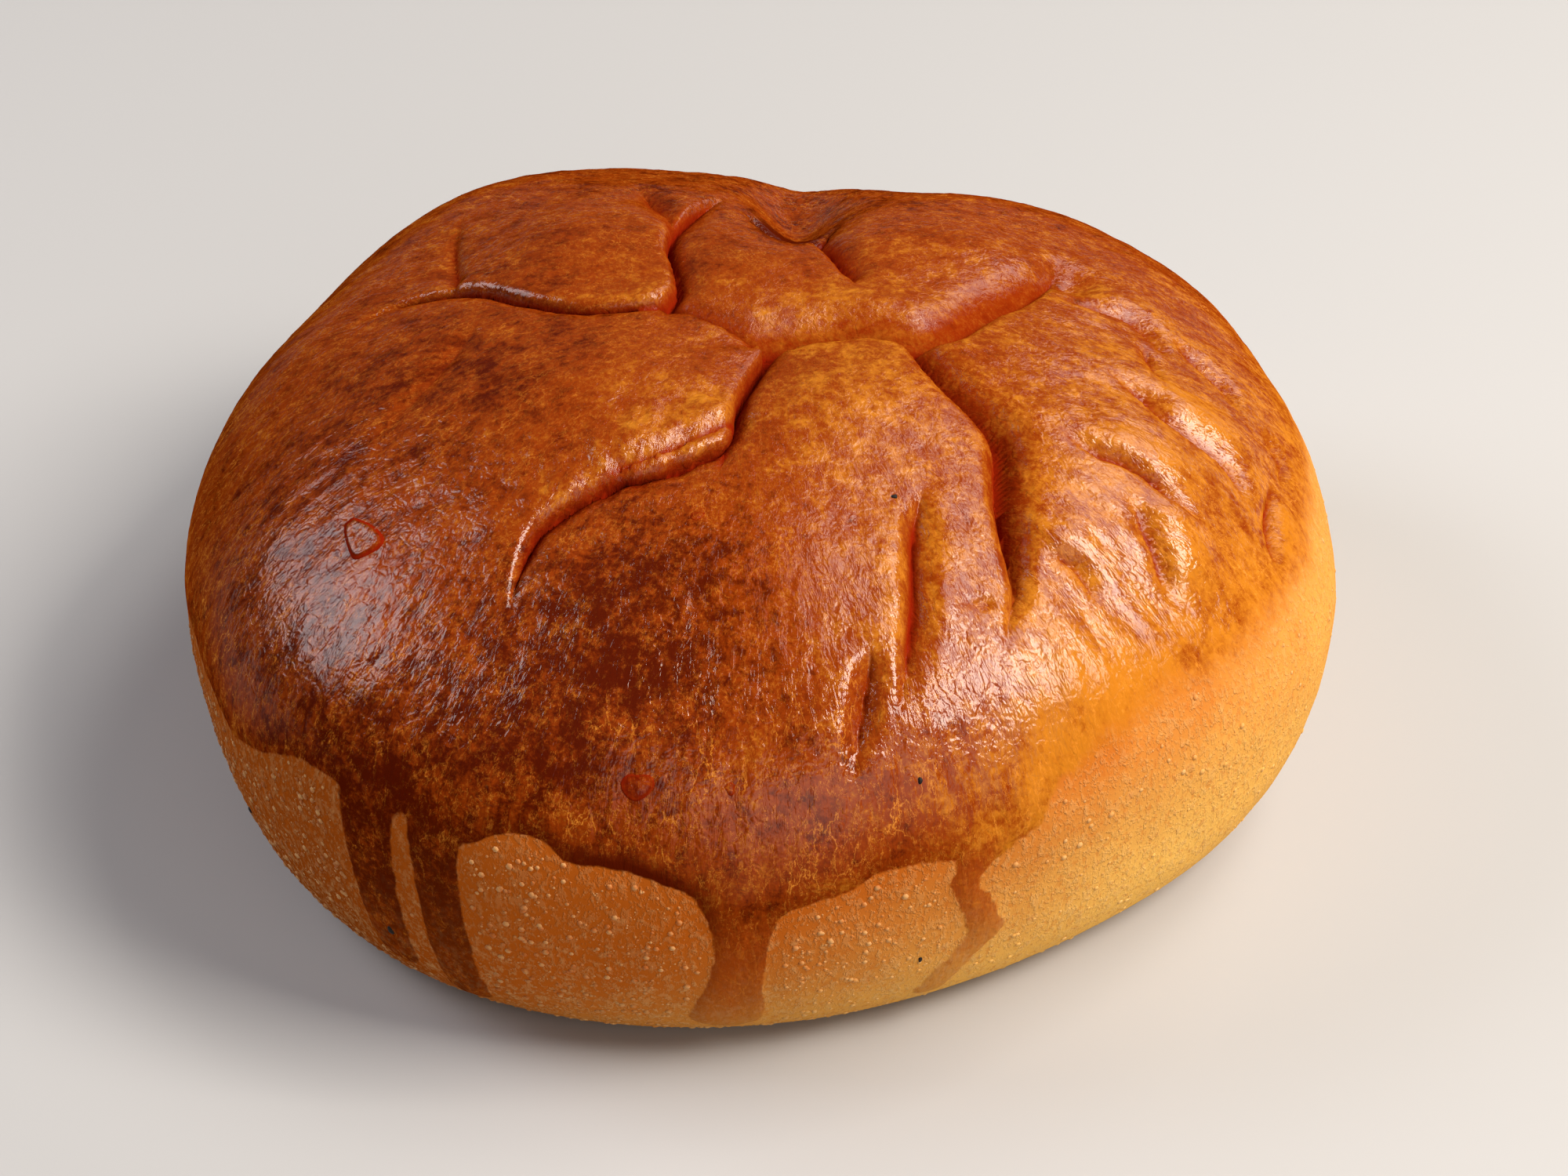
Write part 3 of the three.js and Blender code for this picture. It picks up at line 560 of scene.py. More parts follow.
def grain_places(u, v):
    """Places in which a pattern comes out stretched down the bun's side."""
    reach = np.maximum(np.hypot(u, v), 0.01)
    around = GRAIN_RADIUS * (1 - np.exp(-reach / GRAIN_REACH)) / reach
    return np.stack([u * around, v * around, GRAIN_DOWN * reach], -1)


def write_attributes(mesh, numbers, grain):
    for name, values in numbers.items():
        mesh.attributes.new(name, "FLOAT", "POINT").data.foreach_set("value", values.astype(np.float32))
    mesh.attributes.new("grain", "FLOAT_VECTOR", "POINT").data.foreach_set(
        "vector", grain.astype(np.float32).ravel())


def crust_marks(u, v, folds, glaze, run_down, extra):
    """What the relief and the material read at each corner, the extra ones of the underside last: mm inside
    the glaze's edge, mm of depth in a fold, mm of height on a rim, and the strength of everything else."""
    over_and_under = {
        "glaze": (glaze, BARE),
        "fold": (folds.depth, 0),
        "run": (run_down, 0),
        "tone": (mounds(TONES.values(), u, v), 0),
        "rumple": (mounds(RUMPLES.values(), u, v), 0),
        "crease": (folds.crease, 0),
        "rim": (folds.rims, 0),
        "under": (np.zeros(len(u)), 1),
    }
    marks = {name: np.pad(over, (0, extra), constant_values=under)
             for name, (over, under) in over_and_under.items()}
    u, v = np.pad(u, (0, extra)), np.pad(v, (0, extra))
    marks["dull"] = mounds(DULL.values(), u, v)
    marks["calm"] = np.clip(mounds(CALM.values(), u, v), 0, 1)
    marks["pooled"] = np.exp(-(turned(u, v, POOLED_WAY) / POOLED_SPREAD) ** 2)
    marks["soft"] = ease(2 - turned(u, v, SOFT_WAY) / SOFT_SPREAD)
    return marks, grain_places(u, v)


def crust_mesh(shape):
    """The crust as one closed skin, with its marks."""
    dome = Dome(shape)
    pleats = [*PLEATS.values(), *FINE_FOLDS.values()]
    u, v = draw_to_folds(pleats, *net_places(dome))
    folds = Folds(pleats, u, v)
    glaze, run_down = glaze_distance(dome, u, v)
    thickness = shape.glaze_thickness / MM * (SHEET_SHARE + (1 - SHEET_SHARE) * run_down)
    from_foot = dome.foot - np.hypot(u, v)
    film = thickness * ease(glaze / GLAZE_END + GLAZE_OVERHANG) * ease(from_foot / FOOT_FADE)
    rise = mounds(SWELLINGS.values(), u, v) + unevenness(dome, u, v) - folds.depth + folds.rims + film
    pushed_u, pushed_v = u + folds.push_u, v + folds.push_v
    points = dome.point(pushed_u, pushed_v) + dome.normal(pushed_u, pushed_v) * rise[:, None]

    faces, rim = net_faces(len(points))
    points[rim, 2] = 0
    underside = [points[rim] * share for share in UNDERSIDE_RINGS]
    points = np.vstack([points, *underside, np.zeros((1, 3))])
    mesh = bpy.data.meshes.new("bun_crust")
    mesh.from_pydata((points * MM).tolist(), [], faces)
    mesh.shade_smooth()
    write_attributes(mesh, *crust_marks(u, v, folds, glaze, run_down, len(points) - len(u)))
    return mesh


# ================================================================ node helpers
class Wire:
    """A socket of a node tree. Sums and products with it add Math nodes."""

    def __init__(self, board, socket):
        self.board, self.socket = board, socket

    def sum(self, operation, *values):
        return self.board.add("ShaderNodeMath", {"operation": operation}, dict(enumerate(values)))

    def __add__(self, other): return self.sum("ADD", self, other)
    def __radd__(self, other): return self.sum("ADD", other, self)
    def __sub__(self, other): return self.sum("SUBTRACT", self, other)
    def __rsub__(self, other): return self.sum("SUBTRACT", other, self)
    def __mul__(self, other): return self.sum("MULTIPLY", self, other)
    def __rmul__(self, other): return self.sum("MULTIPLY", other, self)
    def __pow__(self, other): return self.sum("POWER", self, other)
    def __abs__(self): return self.sum("ABSOLUTE", self)


class Board:
    """A node tree that is written as calls."""

    def __init__(self, tree):
        self.tree = tree

    def add(self, kind, settings=None, sockets=None, output=0):
        """Adds a node, its settings first, then its sockets' values or links."""
        node = self.tree.nodes.new(kind)
        for name, value in (settings or {}).items():
            setattr(node, name, value)
        for key, value in (sockets or {}).items():
            socket = node.inputs[key]
            if isinstance(value, Wire):
                self.tree.links.new(value.socket, socket)
            else:
                socket.default_value = value
        return Wire(self, node.outputs[output]) if len(node.outputs) else node

    def ramp(self, value, low, high, to_low=0.0, to_high=1.0):
        """A smooth step of a value from one level to another."""
        return self.add("ShaderNodeMapRange", {"interpolation_type": "SMOOTHSTEP"},
                        {0: value, 1: low, 2: high, 3: to_low, 4: to_high})

    def blend(self, share, first, second):
        """From the first colour to the second by a share."""
        return self.add("ShaderNodeMix", {"data_type": "RGBA"}, {0: share, 6: first, 7: second}, output=2)

    def stretch(self, vector, factors):
        return self.add("ShaderNodeVectorMath", {"operation": "MULTIPLY"}, {0: vector, 1: factors})

    def shift(self, vector, other):
        return self.add("ShaderNodeVectorMath", {"operation": "ADD"}, {0: vector, 1: other})

    def scale(self, vector, factor):
        return self.add("ShaderNodeVectorMath", {"operation": "SCALE"}, {0: vector, "Scale": factor})

    def part(self, vector, axis):
        """One part of a vector, 0 to 2 for X to Z."""
        return self.add("ShaderNodeSeparateXYZ", None, {0: vector}, output=axis)

    def cell_edges(self, vector, scale):
        """Distance from the edges of a pattern of uneven cells."""
        return self.add("ShaderNodeTexVoronoi", {"feature": "DISTANCE_TO_EDGE"},
                        {"Vector": vector, "Scale": scale})

    def mark(self, name, output=2):
        """A mark that the crust's mesh carries."""
        return self.add("ShaderNodeAttribute", {"attribute_name": name}, None, output)

    def noise(self, vector, scale, detail=2.0, roughness=0.5, distortion=0.0, output=0):
        return self.add("ShaderNodeTexNoise", None,
                        {"Vector": vector, "Scale": scale, "Detail": detail, "Roughness": roughness,
                         "Distortion": distortion}, output=output)


def colour(values):
    return (*values, 1.0)


def new_material(name):
    material = bpy.data.materials.new(name)
    material.use_nodes = True
    material.node_tree.nodes.clear()
    return material, Board(material.node_tree)


def finish_material(board, shader):
    board.add("ShaderNodeOutputMaterial", None, {"Surface": shader})


# ================================================================ materials
MARKS = ("glaze", "fold", "tone", "run", "under", "pooled", "soft", "crease", "rim", "dull", "calm",
         "rumple")
GLOSSY_ROUGHNESS, MATTE_ROUGHNESS, BLISTER_ROUGHNESS = 0.12, 0.7, 0.6
GLAZE_INDEX = 1.45  # of refraction
GLAZE_SHINE = 0.45  # strength of the glaze's reflection
GLAZE_TINT = (1.0, 0.92, 0.85)  # colour of its reflection


def places_in_mm(b):
    return b.stretch(b.add("ShaderNodeTexCoord", None, None, output=3), (1 / MM, 1 / MM, 1 / MM))


def broad_patches(b, mm):
    return b.noise(mm, 0.13, 2, 0.5)


def read_crust(b):
    """What every part of the crust's material reads: marks, places and the broad noises."""
    crust = SimpleNamespace(**{name: b.mark(name) for name in MARKS})
    crust.grain = b.mark("grain", 1)
    crust.mm = places_in_mm(b)
    crust.patches = broad_patches(b, crust.mm)
    crust.clouds = b.noise(crust.mm, 0.34, 3, 0.6, 0.3)
    return crust


def glaze_cover(b, crust):
    """Where the glaze lies: it has a crisp edge, and a soft one where it was brushed thin."""
    frayed = crust.glaze + (b.noise(crust.mm, 0.5, 3, 0.55) - 0.5) * (0.8 + crust.soft * 2.2)
    return b.ramp(frayed * (1 - crust.soft * 0.94), -0.12, 0.16)


def glaze_level(b, crust):
    """How light the glaze is: about 0 where it is deep, 0.5 where amber and 1 where golden."""
    streaks = b.noise(crust.grain, 0.6, 3, 0.6, 0.2)
    mottle = b.noise(crust.mm, 1.2, 4, 0.75, 0.4)
    thin = crust.soft * b.ramp(crust.glaze, 14, 0)
    laid_on = crust.tone + 0.42 + crust.soft * 0.15 + thin * 0.2
    # Paler on raised rims, and darker in folds as painted shade
    rims_and_fold_shade = b.ramp(crust.rim, 0.1, 0.5) * 0.2 - b.ramp(crust.fold, 0.4, 1.5) * 0.1
    cloudy = (crust.patches - 0.5) * 0.4 + (crust.clouds - 0.5) * 0.9 + (streaks - 0.5) * 0.6
    mottled = (mottle - 0.5) * b.ramp(crust.tone, -0.3, 0.4, 1.5, 0.9) * (1 - crust.calm * 0.4)
    return laid_on + rims_and_fold_shade + cloudy + mottled


def golden_threads(b, crust):
    """Share of the pale fibres and flecks where the skin stretched, more of them low down."""
    wavy = b.shift(crust.grain, b.scale(b.noise(crust.grain, 0.8, 4, 0.65, output=1), 2.2))
    sparse = b.ramp(b.noise(crust.mm, 0.25, 3, 0.6), 0.42, 0.66)
    webs = b.ramp(b.cell_edges(wavy, 0.55), 0.035, 0.0) * sparse
    threads = b.ramp(abs(b.noise(wavy, 0.8, 4, 0.6) - 0.5), 0.014, 0.0)
    flecks = b.ramp(b.noise(crust.mm, 2.4, 3, 0.7, 0.3), 0.53, 0.68) * b.ramp(crust.clouds, 0.35, 0.65)
    low = b.ramp(crust.glaze, 26, 6)
    return webs * (0.4 + low * 0.4) + threads * (0.3 + low * 0.25) + flecks * 0.22


def glaze_colour(b, crust, bare, colours):
    """Deep and amber clouds, gold where it is thin, darkest where it pooled, paler down its runs, and
    painted shade in its folds.
    """
    level = glaze_level(b, crust)
    film = b.blend(b.ramp(level, -0.05, 0.5), colour(colours.deep), colour(colours.amber))
    film = b.blend(b.ramp(level, 0.45, 1.1), film, colour(colours.gold))
    film = b.blend(golden_threads(b, crust) * b.ramp(level, -0.2, 0.5), film, colour(colours.fibre))
    pool = b.ramp(crust.glaze, 2.6, 0.3) * (crust.pooled * 0.9 + 0.2 * (1 - crust.soft))
    film = b.blend(pool, film, colour(colours.deep))
    leftmost = b.ramp(b.part(crust.mm, 0), -8, -24)
    film = b.blend(b.ramp(crust.run, 0.1, 0.5) * (1 - leftmost) * 0.5, film, colour(colours.dried))
    film = b.blend(crust.run * crust.run * 0.6 * (1 - leftmost * 0.6), film, bare)
    # Painted shade in folds and along crease bottoms, with the darker glaze that pooled there
    fold_pool_and_shade = (b.ramp(crust.fold, 0.4, 1.3) * 0.4 + b.ramp(crust.fold, 1.4, 3.6) * 0.6
               + crust.crease * b.ramp(crust.fold, 0.3, 0.9) * 0.6)
    return b.blend(fold_pool_and_shade, film, colour(colours.hollow))


def bare_colour(b, mm, patches, colours):
    """Colour of crust without glaze: partly browning and partly painted shade and light, darker on the
    left, paler on the right and low down.
    """
    across, up = b.part(mm, 0), b.part(mm, 2)
    # Share of the pale crust: painted light on the right, painted shade on the left, paler low down, uneven
    # by patches
    lit_and_pale_share = b.ramp(across + (patches - 0.5) * 20 + (12 - up) * 2.2, -22, 54)
    bare = b.blend(lit_and_pale_share, colour(colours.browned_and_shade), colour(colours.flank))
    # Painted shade, partly deeper browning: the left flank darkened towards the deep glaze colour
    bare = b.blend(b.ramp(across, -18, -42) * 0.4, bare, colour(colours.deep))
    # Painted shade: the far right flank darkened again
    return b.blend(b.ramp(across, 34, 60) * 0.35, bare, colour(colours.browned_and_shade))


def flank_grains(b, crust):
    """Coarse grains, fine grains and pits of the matte flank, drawn out upwards."""
    upright = b.stretch(crust.mm, (1, 1, 0.65))
    grains = b.ramp(b.noise(upright, 1.1, 3, 0.7), 0.5, 0.62)
    fine_grains = b.ramp(b.noise(upright, 2.4, 2, 0.6), 0.5, 0.64)
    pits = b.ramp(b.noise(upright, 1.7, 3, 0.7), 0.48, 0.36)
    return grains, fine_grains, pits


def flank_colour(b, crust, grains, fine_grains, pits, colours):
    """Bare crust with pits and pale grains, and browner on the underside."""
    bare = bare_colour(b, crust.mm, crust.patches, colours)
    bare = b.blend(pits * 0.35, bare, colour(colours.browned_and_shade))
    pale = (grains + fine_grains) * b.ramp(b.part(crust.mm, 2), 20, 6, 0.14, 0.27)
    bare = b.blend(pale, bare, colour(colours.pale))
    return b.blend(crust.under * 0.6, bare, colour(colours.browned_and_shade))


def crust_bump(b, crust, glazed, grains, fine_grains):
    """Relief too fine for the mesh: plates and crinkles of the glaze, and grains of the flank."""
    wander = b.shift(crust.mm, b.scale(b.noise(crust.mm, 0.6, 2, output=1), 2.0))
    plates = b.ramp(b.cell_edges(wander, 0.8), 0.0, 0.25) * b.ramp(crust.clouds, 0.3, 0.6)
    crinkle = abs(b.noise(crust.grain, 0.5, 3, 0.6, 0.6) - 0.5)
    fine_crinkle = abs(b.noise(b.stretch(crust.grain, (1, 1, 0.4)), 1.2, 3, 0.65, 0.8) - 0.5)
    crinkles = (crinkle * 0.2 + fine_crinkle * 0.09) * (1 - crust.calm * 0.75 + crust.rumple * 0.2)
    pores = b.noise(crust.mm, 3.6, 2, 0.5)
    film_height = plates * 0.03 + crinkles + pores * 0.01
    bare_height = grains * 0.06 + fine_grains * 0.05 + pores * 0.02
    height = b.blend(glazed, bare_height, film_height)
    return b.add("ShaderNodeBump", None, {"Strength": 1.0, "Distance": MM, "Height": height})


def gloss_share(b, crust, glazed):
    """The glaze loses its gloss in folds and runs, near its end and where it is seen edge on."""
    facing = b.add("ShaderNodeLayerWeight", None, {"Blend": 0.5}, output=1)
    return (glazed * (1 - b.ramp(crust.run, 0.0, 0.15)) * (1 - b.ramp(crust.fold, 0.5, 1.5))
            * b.ramp(crust.glaze, 0, 12) * b.ramp(facing, 0.85, 0.45) * (1 - crust.dull)
            * (1 - crust.crease * 0.8))


def crust_material(colours):
    """Browned crust: a crinkled egg glaze on top, matte and grainy below it."""
    material, b = new_material("browned_crust")
    crust = read_crust(b)
    glazed = glaze_cover(b, crust)
    grains, fine_grains, pits = flank_grains(b, crust)
    bare = flank_colour(b, crust, grains, fine_grains, pits, colours)
    film = glaze_colour(b, crust, bare, colours)
    bump = crust_bump(b, crust, glazed, grains, fine_grains)
    glossy = b.add("ShaderNodeBsdfPrincipled", None, {
        "Base Color": film, "Normal": bump, "IOR": GLAZE_INDEX,
        "Roughness": GLOSSY_ROUGHNESS + (crust.clouds - 0.5) * 0.08,
        "Specular IOR Level": GLAZE_SHINE, "Specular Tint": colour(GLAZE_TINT)})
    matte = b.add("ShaderNodeBsdfPrincipled", None, {
        "Base Color": b.blend(glazed, bare, film), "Normal": bump,
        "Roughness": MATTE_ROUGHNESS, "Specular IOR Level": 0.0})
    gloss = gloss_share(b, crust, glazed)
    finish_material(b, b.add("ShaderNodeMixShader", None, {0: gloss, 1: matte, 2: glossy}))
    return material


def blister_material(colours):
    """The bare crust's colour, paler by an uneven share."""
    material, b = new_material("blistered_crust")
    mm = places_in_mm(b)
    bare = bare_colour(b, mm, broad_patches(b, mm), colours)
    share = b.ramp(b.noise(mm, 1.0, 2), 0.35, 0.65, 0.1, 0.6)
    shader = b.add("ShaderNodeBsdfPrincipled", None, {
        "Base Color": b.blend(share, bare, colour(colours.pale)), "Roughness": BLISTER_ROUGHNESS,
        "Specular IOR Level": 0.1})
    finish_material(b, shader)
    return material


def plain_material(name, base, roughness):
    material, b = new_material(name)
    shader = b.add("ShaderNodeBsdfPrincipled", None, {
        "Base Color": colour(base), "Roughness": roughness, "Specular IOR Level": 0.2})
    finish_material(b, shader)
    return material


# ================================================================ node groups that make shape
STILL_FOOT = 8  # mm above the underside over which the relief grows
BLISTER_HEIGHT = 0.38  # times a blister's radius


def group_with(name, inputs):
    """An empty geometry tree with named inputs, and its board, geometry and input wires."""
    tree = bpy.data.node_groups.new(name, "GeometryNodeTree")
    tree.interface.new_socket("Geometry", in_out="INPUT", socket_type="NodeSocketGeometry")
    tree.interface.new_socket("Geometry", in_out="OUTPUT", socket_type="NodeSocketGeometry")
    for label, kind in inputs.items():
        tree.interface.new_socket(label, in_out="INPUT", socket_type=kind)
    board = Board(tree)
    entry = tree.nodes.new("NodeGroupInput")
    return tree, board, {socket.name: Wire(board, socket) for socket in entry.outputs if socket.name}


def end_group(board, geometry, material):
    whole = board.add("GeometryNodeRealizeInstances", None, {0: geometry})
    dressed = board.add("GeometryNodeSetMaterial", None, {"Geometry": whole, "Material": material})
    board.add("NodeGroupOutput", None, {0: dressed})


def run_group(piece, tree, values):
    """Runs a geometry tree on a piece with its named inputs and keeps the result as a plain mesh."""
    modifier = piece.modifiers.new(tree.name, "NODES")
    modifier.node_group = tree
    for item in tree.interface.items_tree:
        if item.in_out == "INPUT" and item.name in values:
            modifier[item.identifier] = values[item.name]
    seen = piece.evaluated_get(bpy.context.evaluated_depsgraph_get())
    mesh = bpy.data.meshes.new_from_object(seen, preserve_all_data_layers=True,
                                           depsgraph=bpy.context.evaluated_depsgraph_get())
    piece.modifiers.clear()
    piece.data = mesh
    return piece


def relief_group(material):
    """Wrinkles that run down the glaze, and a broad unevenness over the whole crust."""
    tree, b, given = group_with("crust_relief", {
        "Wrinkle height": "NodeSocketFloat", "Rumple height": "NodeSocketFloat",
        "Lump height": "NodeSocketFloat", "Seed": "NodeSocketFloat"})
    read = lambda name, kind="FLOAT": b.add(
        "GeometryNodeInputNamedAttribute", {"data_type": kind}, {"Name": name}, output=0)
    glaze, fold, under, rumple = (read(name) for name in ("glaze", "fold", "under", "rumple"))
    grain = read("grain", "FLOAT_VECTOR")
    position = b.add("GeometryNodeInputPosition")
    noise = lambda vector, scale, detail: b.add(
        "ShaderNodeTexNoise", {"noise_dimensions": "4D"},
        {"Vector": vector, "W": given["Seed"], "Scale": scale, "Detail": detail})
    glazed = b.ramp(glaze, 0.0, 6.0)
    top = 1 - b.ramp(fold, 0.4, 2.5)
    long_noise = noise(b.stretch(grain, (1, 1, 0.4)), 0.42, 2.0)
    wrinkles = (1 - abs(long_noise - 0.5) * 5) * glazed * top
    lumps = noise(b.stretch(position, (1 / MM, 1 / MM, 1 / MM)), 0.14, 2.0) - 0.5
    knobs = noise(b.stretch(grain, (1, 1, 0.6)), 0.2, 2.0) - 0.5
    knobs = knobs + (noise(grain, 0.45, 2.0) - 0.5) * 0.5 + (noise(grain, 1.0, 2.0) - 0.5) * 0.3
    rise = (wrinkles * given["Wrinkle height"] + lumps * 2 * given["Lump height"] * (1 - under)
            + knobs * 2 * given["Rumple height"] * rumple)
    rise = rise * b.ramp(b.part(position, 2), 0.0, STILL_FOOT * MM)
    offset = b.scale(b.add("GeometryNodeInputNormal"), rise)
    moved = b.add("GeometryNodeSetPosition", None, {"Geometry": given["Geometry"], "Offset": offset})
    end_group(b, moved, material)
    return tree


def blister_group(material):
    """Blisters strewn over the bare flank, as flattened domes."""
    tree, b, given = group_with("blister_strewing", {
        "Per square metre": "NodeSocketFloat", "Smallest": "NodeSocketFloat", "Largest": "NodeSocketFloat",
        "Seed": "NodeSocketInt"})
    read = lambda name: b.add("GeometryNodeInputNamedAttribute", {"data_type": "FLOAT"}, {"Name": name})
    across = b.part(b.add("GeometryNodeInputPosition"), 0)
    bare = b.ramp(read("glaze"), -0.5, -2.0) * (1 - read("under")) * b.ramp(across, 0.03, -0.005, 0.12, 1.0)
    points = b.add("GeometryNodeDistributePointsOnFaces", None, {
        "Mesh": given["Geometry"], "Density": bare * given["Per square metre"], "Seed": given["Seed"]})
    turn = Wire(b, points.socket.node.outputs["Rotation"])
    dome = b.add("GeometryNodeMeshUVSphere", None, {"Segments": 6, "Rings": 3, "Radius": 1.0})
    draw = b.add("FunctionNodeRandomValue", None, {8: given["Seed"]}, output=1)
    size = given["Smallest"] + (given["Largest"] - given["Smallest"]) * draw ** 3
    scale = b.scale((1.0, 1.0, BLISTER_HEIGHT), size)
    domes = b.add("GeometryNodeInstanceOnPoints", None, {
        "Points": points, "Instance": dome, "Rotation": turn, "Scale": scale})
    whole = b.add("GeometryNodeRealizeInstances", None, {0: domes})
    end_group(b, b.add("GeometryNodeSetShadeSmooth", None, {0: whole}), material)
    return tree


# ================================================================ pieces
def place_piece(name, mesh):
    piece = bpy.data.objects.new(name, mesh)
    bpy.context.scene.collection.objects.link(piece)
    return piece


def keep_piece(piece):
    """A piece that moves with the bun and takes the place of its solid."""
    piece.data.name = piece.name
    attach(piece, "root")
    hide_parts("bun")


class Skin:
    """The finished crust, for setting small things on it."""

    def __init__(self, shape):
        crust = bpy.data.objects["bun_crust"]
        self.dome = Dome(shape)
        self.tree = BVHTree.FromObject(crust, bpy.context.evaluated_depsgraph_get())

    def place(self, u, v, rise):
        """Where the crust is nearest to a place on the plain dome, lifted off it by some mm."""
        start = Vector(self.dome.point(u, v) * MM)
        spot, normal, *_ = self.tree.find_nearest(start)
        return spot + normal * rise * MM


def round_outline(u, v, radius):
    """An uneven ring round a place on the skin."""
    turns = np.arange(PATCH_CORNERS) / PATCH_CORNERS * 2 * math.pi
    reach = radius * (1 + 0.16 * np.sin(2 * turns + u) + 0.1 * np.sin(3 * turns + v))
    return np.stack([u + reach * np.cos(turns), v + reach * np.sin(turns)], -1)


def patch_mesh(name, skin, outlines, rings):
    """Small closed skins on the crust. A ring is a share of the outline, mm above the crust and how deep in
    colour; they go inwards, the last is a point, and the first closes the skin below."""
    points, faces, places, fold = [], [], [], []
    for outline in outlines:
        middle = np.mean(outline, axis=0)
        first, count = len(points), len(outline)
        for share, rise, dark in rings[:-1]:
            for u, v in middle + (np.array(outline) - middle) * share:
                points.append(skin.place(u, v, rise))
                places.append((u, v))
                fold.append(dark)
        points.append(skin.place(*middle, rings[-1][1]))
        places.append(middle)
        fold.append(rings[-1][2])
        last = len(points) - 1
        for ring in range(len(rings) - 2):
            for i in range(count):
                a, b = first + ring * count + i, first + ring * count + (i + 1) % count
                faces.append((a, b, b + count, a + count))
        for i in range(count):
            faces.append((last - count + i, last - count + (i + 1) % count, last))
        faces.append([first + i for i in reversed(range(count))])
    mesh = bpy.data.meshes.new(name)
    mesh.from_pydata(points, [], faces)
    mesh.shade_smooth()
    u, v = np.array(places).T
    write_attributes(mesh, {"fold": np.array(fold), "glaze": np.full(len(points), 10.0),
                            "tone": mounds(TONES.values(), u, v)}, grain_places(u, v))
    return mesh


class BUN_OT_shape_crust(bpy.types.Operator):
    """Shape the crust over the solid, wrinkle it and dress it"""
    bl_idname = "bun.shape_crust"
    bl_label = "Shape crust"

    def execute(self, context):
        shape, colours = context.scene.bun_shape, context.scene.bun_colours
        piece = place_piece("bun_crust", crust_mesh(shape))
        run_group(piece, relief_group(crust_material(colours)), {
            "Wrinkle height": shape.wrinkle, "Rumple height": shape.rumple,
            "Lump height": shape.lump, "Seed": float(shape.seed)})
        keep_piece(piece)
        return {"FINISHED"}


class BUN_OT_strew_blisters(bpy.types.Operator):
    """Strew pale blisters over the bare flank"""
    bl_idname = "bun.strew_blisters"
    bl_label = "Strew blisters"

    def execute(self, context):
        shape, colours = context.scene.bun_shape, context.scene.bun_colours
        piece = place_piece("flank_blisters", bpy.data.objects["bun_crust"].data.copy())
        run_group(piece, blister_group(blister_material(colours)), {
            "Per square metre": shape.blisters * 1e4, "Smallest": shape.least_blister,
            "Largest": shape.largest_blister, "Seed": shape.seed})
        keep_piece(piece)
        return {"FINISHED"}


class BUN_OT_set_flake(bpy.types.Operator):
    """Set the lifted flake of glaze on the left"""
    bl_idname = "bun.set_flake"
    bl_label = "Set flake"

    def execute(self, context):
        outline = spline([*FLAKE, FLAKE[0]], 5)[:-1]
        mesh = patch_mesh("glaze_flake", Skin(context.scene.bun_shape), [outline], FLAKE_RINGS)
        mesh.materials.append(bpy.data.materials["browned_crust"])
        keep_piece(place_piece("glaze_flake", mesh))
        return {"FINISHED"}


class BUN_OT_set_bubbles(bpy.types.Operator):
    """Set the bubbles in the glaze"""
    bl_idname = "bun.set_bubbles"
    bl_label = "Set bubbles"

    def execute(self, context):
        outlines = [round_outline(*bubble) for bubble in BUBBLES]
        mesh = patch_mesh("glaze_bubbles", Skin(context.scene.bun_shape), outlines, BUBBLE_RINGS)
        mesh.materials.append(bpy.data.materials["browned_crust"])
        keep_piece(place_piece("glaze_bubbles", mesh))
        return {"FINISHED"}


class BUN_OT_set_specks(bpy.types.Operator):
    """Set the scorched specks on the crust"""
    bl_idname = "bun.set_specks"
    bl_label = "Set scorched specks"

    def execute(self, context):
        outlines = [round_outline(*speck) for speck in SPECKS]
        mesh = patch_mesh("scorched_specks", Skin(context.scene.bun_shape), outlines, SPECK_RINGS)
        mesh.materials.append(plain_material("scorched", context.scene.bun_colours.scorched, 0.6))
        keep_piece(place_piece("scorched_specks", mesh))
        return {"FINISHED"}


# ================================================================ stage
CAMERA_PLACE = (2.0, -308.8, 251.7)  # mm
CAMERA_DOWN = 37.4  # degrees below level
FRAME_WIDTH, FOCAL_LENGTH = 2000, 4900  # pixels
FLOOR_SIZE = 6  # m
LAMPS_AIM = 0.03  # m above the floor
ROOM_COLOUR, ROOM_STRENGTH = (0.9, 0.93, 1.0), 0.05
# Lamps: degrees round from the front, degrees above level, m away, m wide, watts, colour
LIGHTS = {
    "left_softbox": (-101, 35, 0.75, 0.4, 3.3, (0.92, 0.93, 1.0)),
    "right_softbox": (73, 46, 0.75, 0.34, 7.6, (1.0, 0.95, 0.88)),
    "back_right_softbox": (138, 34, 0.8, 0.34, 1.1, (1.0, 0.97, 0.93)),
    "front_fill": (25, 20, 0.8, 0.6, 2.0, (1.0, 0.95, 0.9)),
    "overhead": (110, 60, 0.85, 0.32, 2.7, (1.0, 0.97, 0.93)),
}


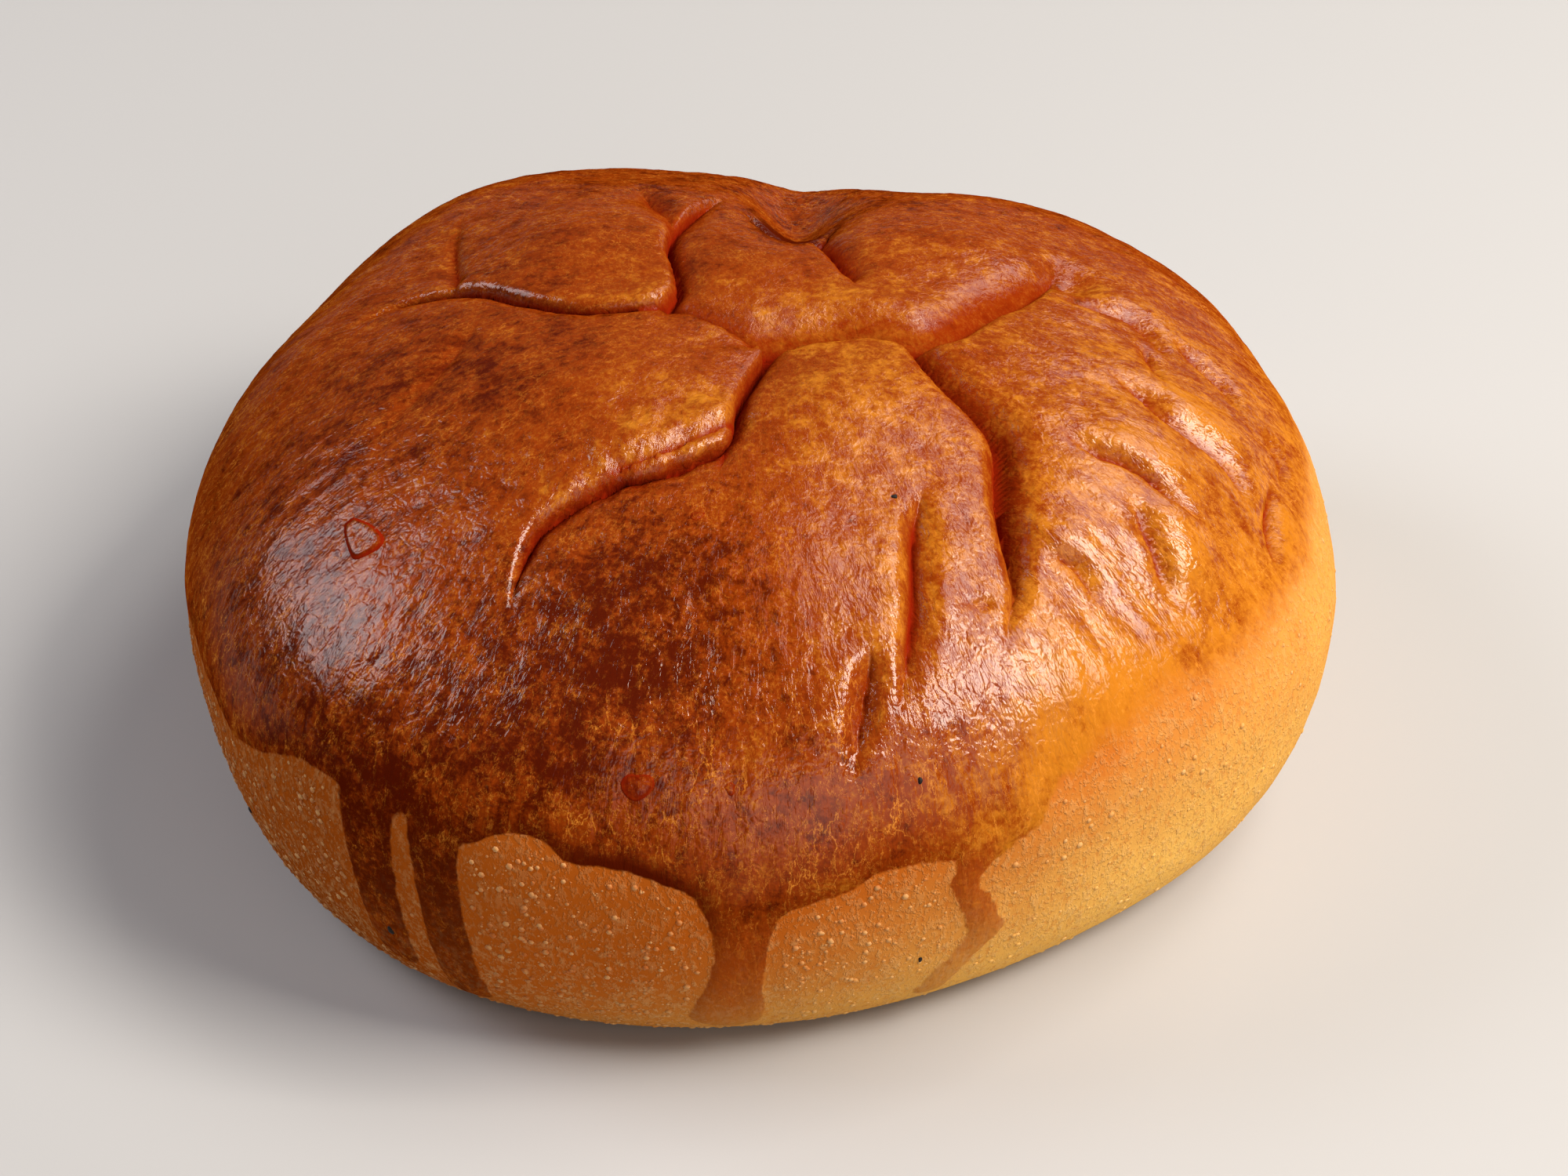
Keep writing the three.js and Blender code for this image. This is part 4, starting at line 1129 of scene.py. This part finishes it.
class BUN_OT_set_stage(bpy.types.Operator):
    """Set the floor, the soft lights and the camera"""
    bl_idname = "bun.set_stage"
    bl_label = "Set stage"

    def execute(self, context):
        scene = context.scene
        bpy.ops.mesh.primitive_plane_add(size=FLOOR_SIZE)
        floor = context.object
        floor.name = "floor"
        floor.data.materials.append(plain_material("pale_floor", scene.bun_colours.floor, 0.7))
        for name, (round_to, up, distance, size, watts, tint) in LIGHTS.items():
            light = bpy.data.lights.new(name, "AREA")
            light.size, light.energy, light.color = size, watts, tint
            lamp = bpy.data.objects.new(name, light)
            scene.collection.objects.link(lamp)
            a, e = math.radians(round_to), math.radians(up)
            way = Vector((math.sin(a) * math.cos(e), -math.cos(a) * math.cos(e), math.sin(e)))
            lamp.location = way * distance + Vector((0, 0, LAMPS_AIM))
            lamp.rotation_euler = way.to_track_quat("Z", "Y").to_euler()
        world = bpy.data.worlds.new("soft_room")
        world.use_nodes = True
        background = world.node_tree.nodes["Background"]
        background.inputs["Color"].default_value = colour(ROOM_COLOUR)
        background.inputs["Strength"].default_value = ROOM_STRENGTH
        scene.world = world
        camera = bpy.data.cameras.new("camera")
        camera.lens = camera.sensor_width * FOCAL_LENGTH / FRAME_WIDTH
        camera.clip_start = 0.01
        viewer = bpy.data.objects.new("camera", camera)
        viewer.location = Vector(CAMERA_PLACE) * MM
        viewer.rotation_euler = (math.radians(90 - CAMERA_DOWN), 0, 0)
        scene.collection.objects.link(viewer)
        scene.camera = viewer
        scene.view_settings.view_transform = "Standard"
        return {"FINISHED"}


class BUN_PT_panel(bpy.types.Panel):
    """The bun's steps and settings"""
    bl_idname = "BUN_PT_panel"
    bl_label = "Bun"
    bl_space_type = "VIEW_3D"
    bl_region_type = "UI"
    bl_category = "Bun"

    def draw(self, context):
        for group in (context.scene.bun_shape, context.scene.bun_colours):
            for name in group.__annotations__:
                self.layout.prop(group, name)
        for operator in OPERATORS:
            self.layout.operator(operator.bl_idname)


OPERATORS = (BUN_OT_shape_crust, BUN_OT_strew_blisters, BUN_OT_set_flake, BUN_OT_set_bubbles,
             BUN_OT_set_specks, BUN_OT_set_stage)
CLASSES = (BunShape, BunColours, *OPERATORS, BUN_PT_panel)


def register():
    for cls in CLASSES:
        bpy.utils.register_class(cls)
    bpy.types.Scene.bun_shape = PointerProperty(type=BunShape)
    bpy.types.Scene.bun_colours = PointerProperty(type=BunColours)


def unregister():
    del bpy.types.Scene.bun_colours
    del bpy.types.Scene.bun_shape
    for cls in reversed(CLASSES):
        bpy.utils.unregister_class(cls)


def main():
    register()
    bpy.ops.bun.shape_crust()
    bpy.ops.bun.strew_blisters()
    bpy.ops.bun.set_flake()
    bpy.ops.bun.set_bubbles()
    bpy.ops.bun.set_specks()
    bpy.ops.bun.set_stage()


if __name__ == "__main__":
    main()
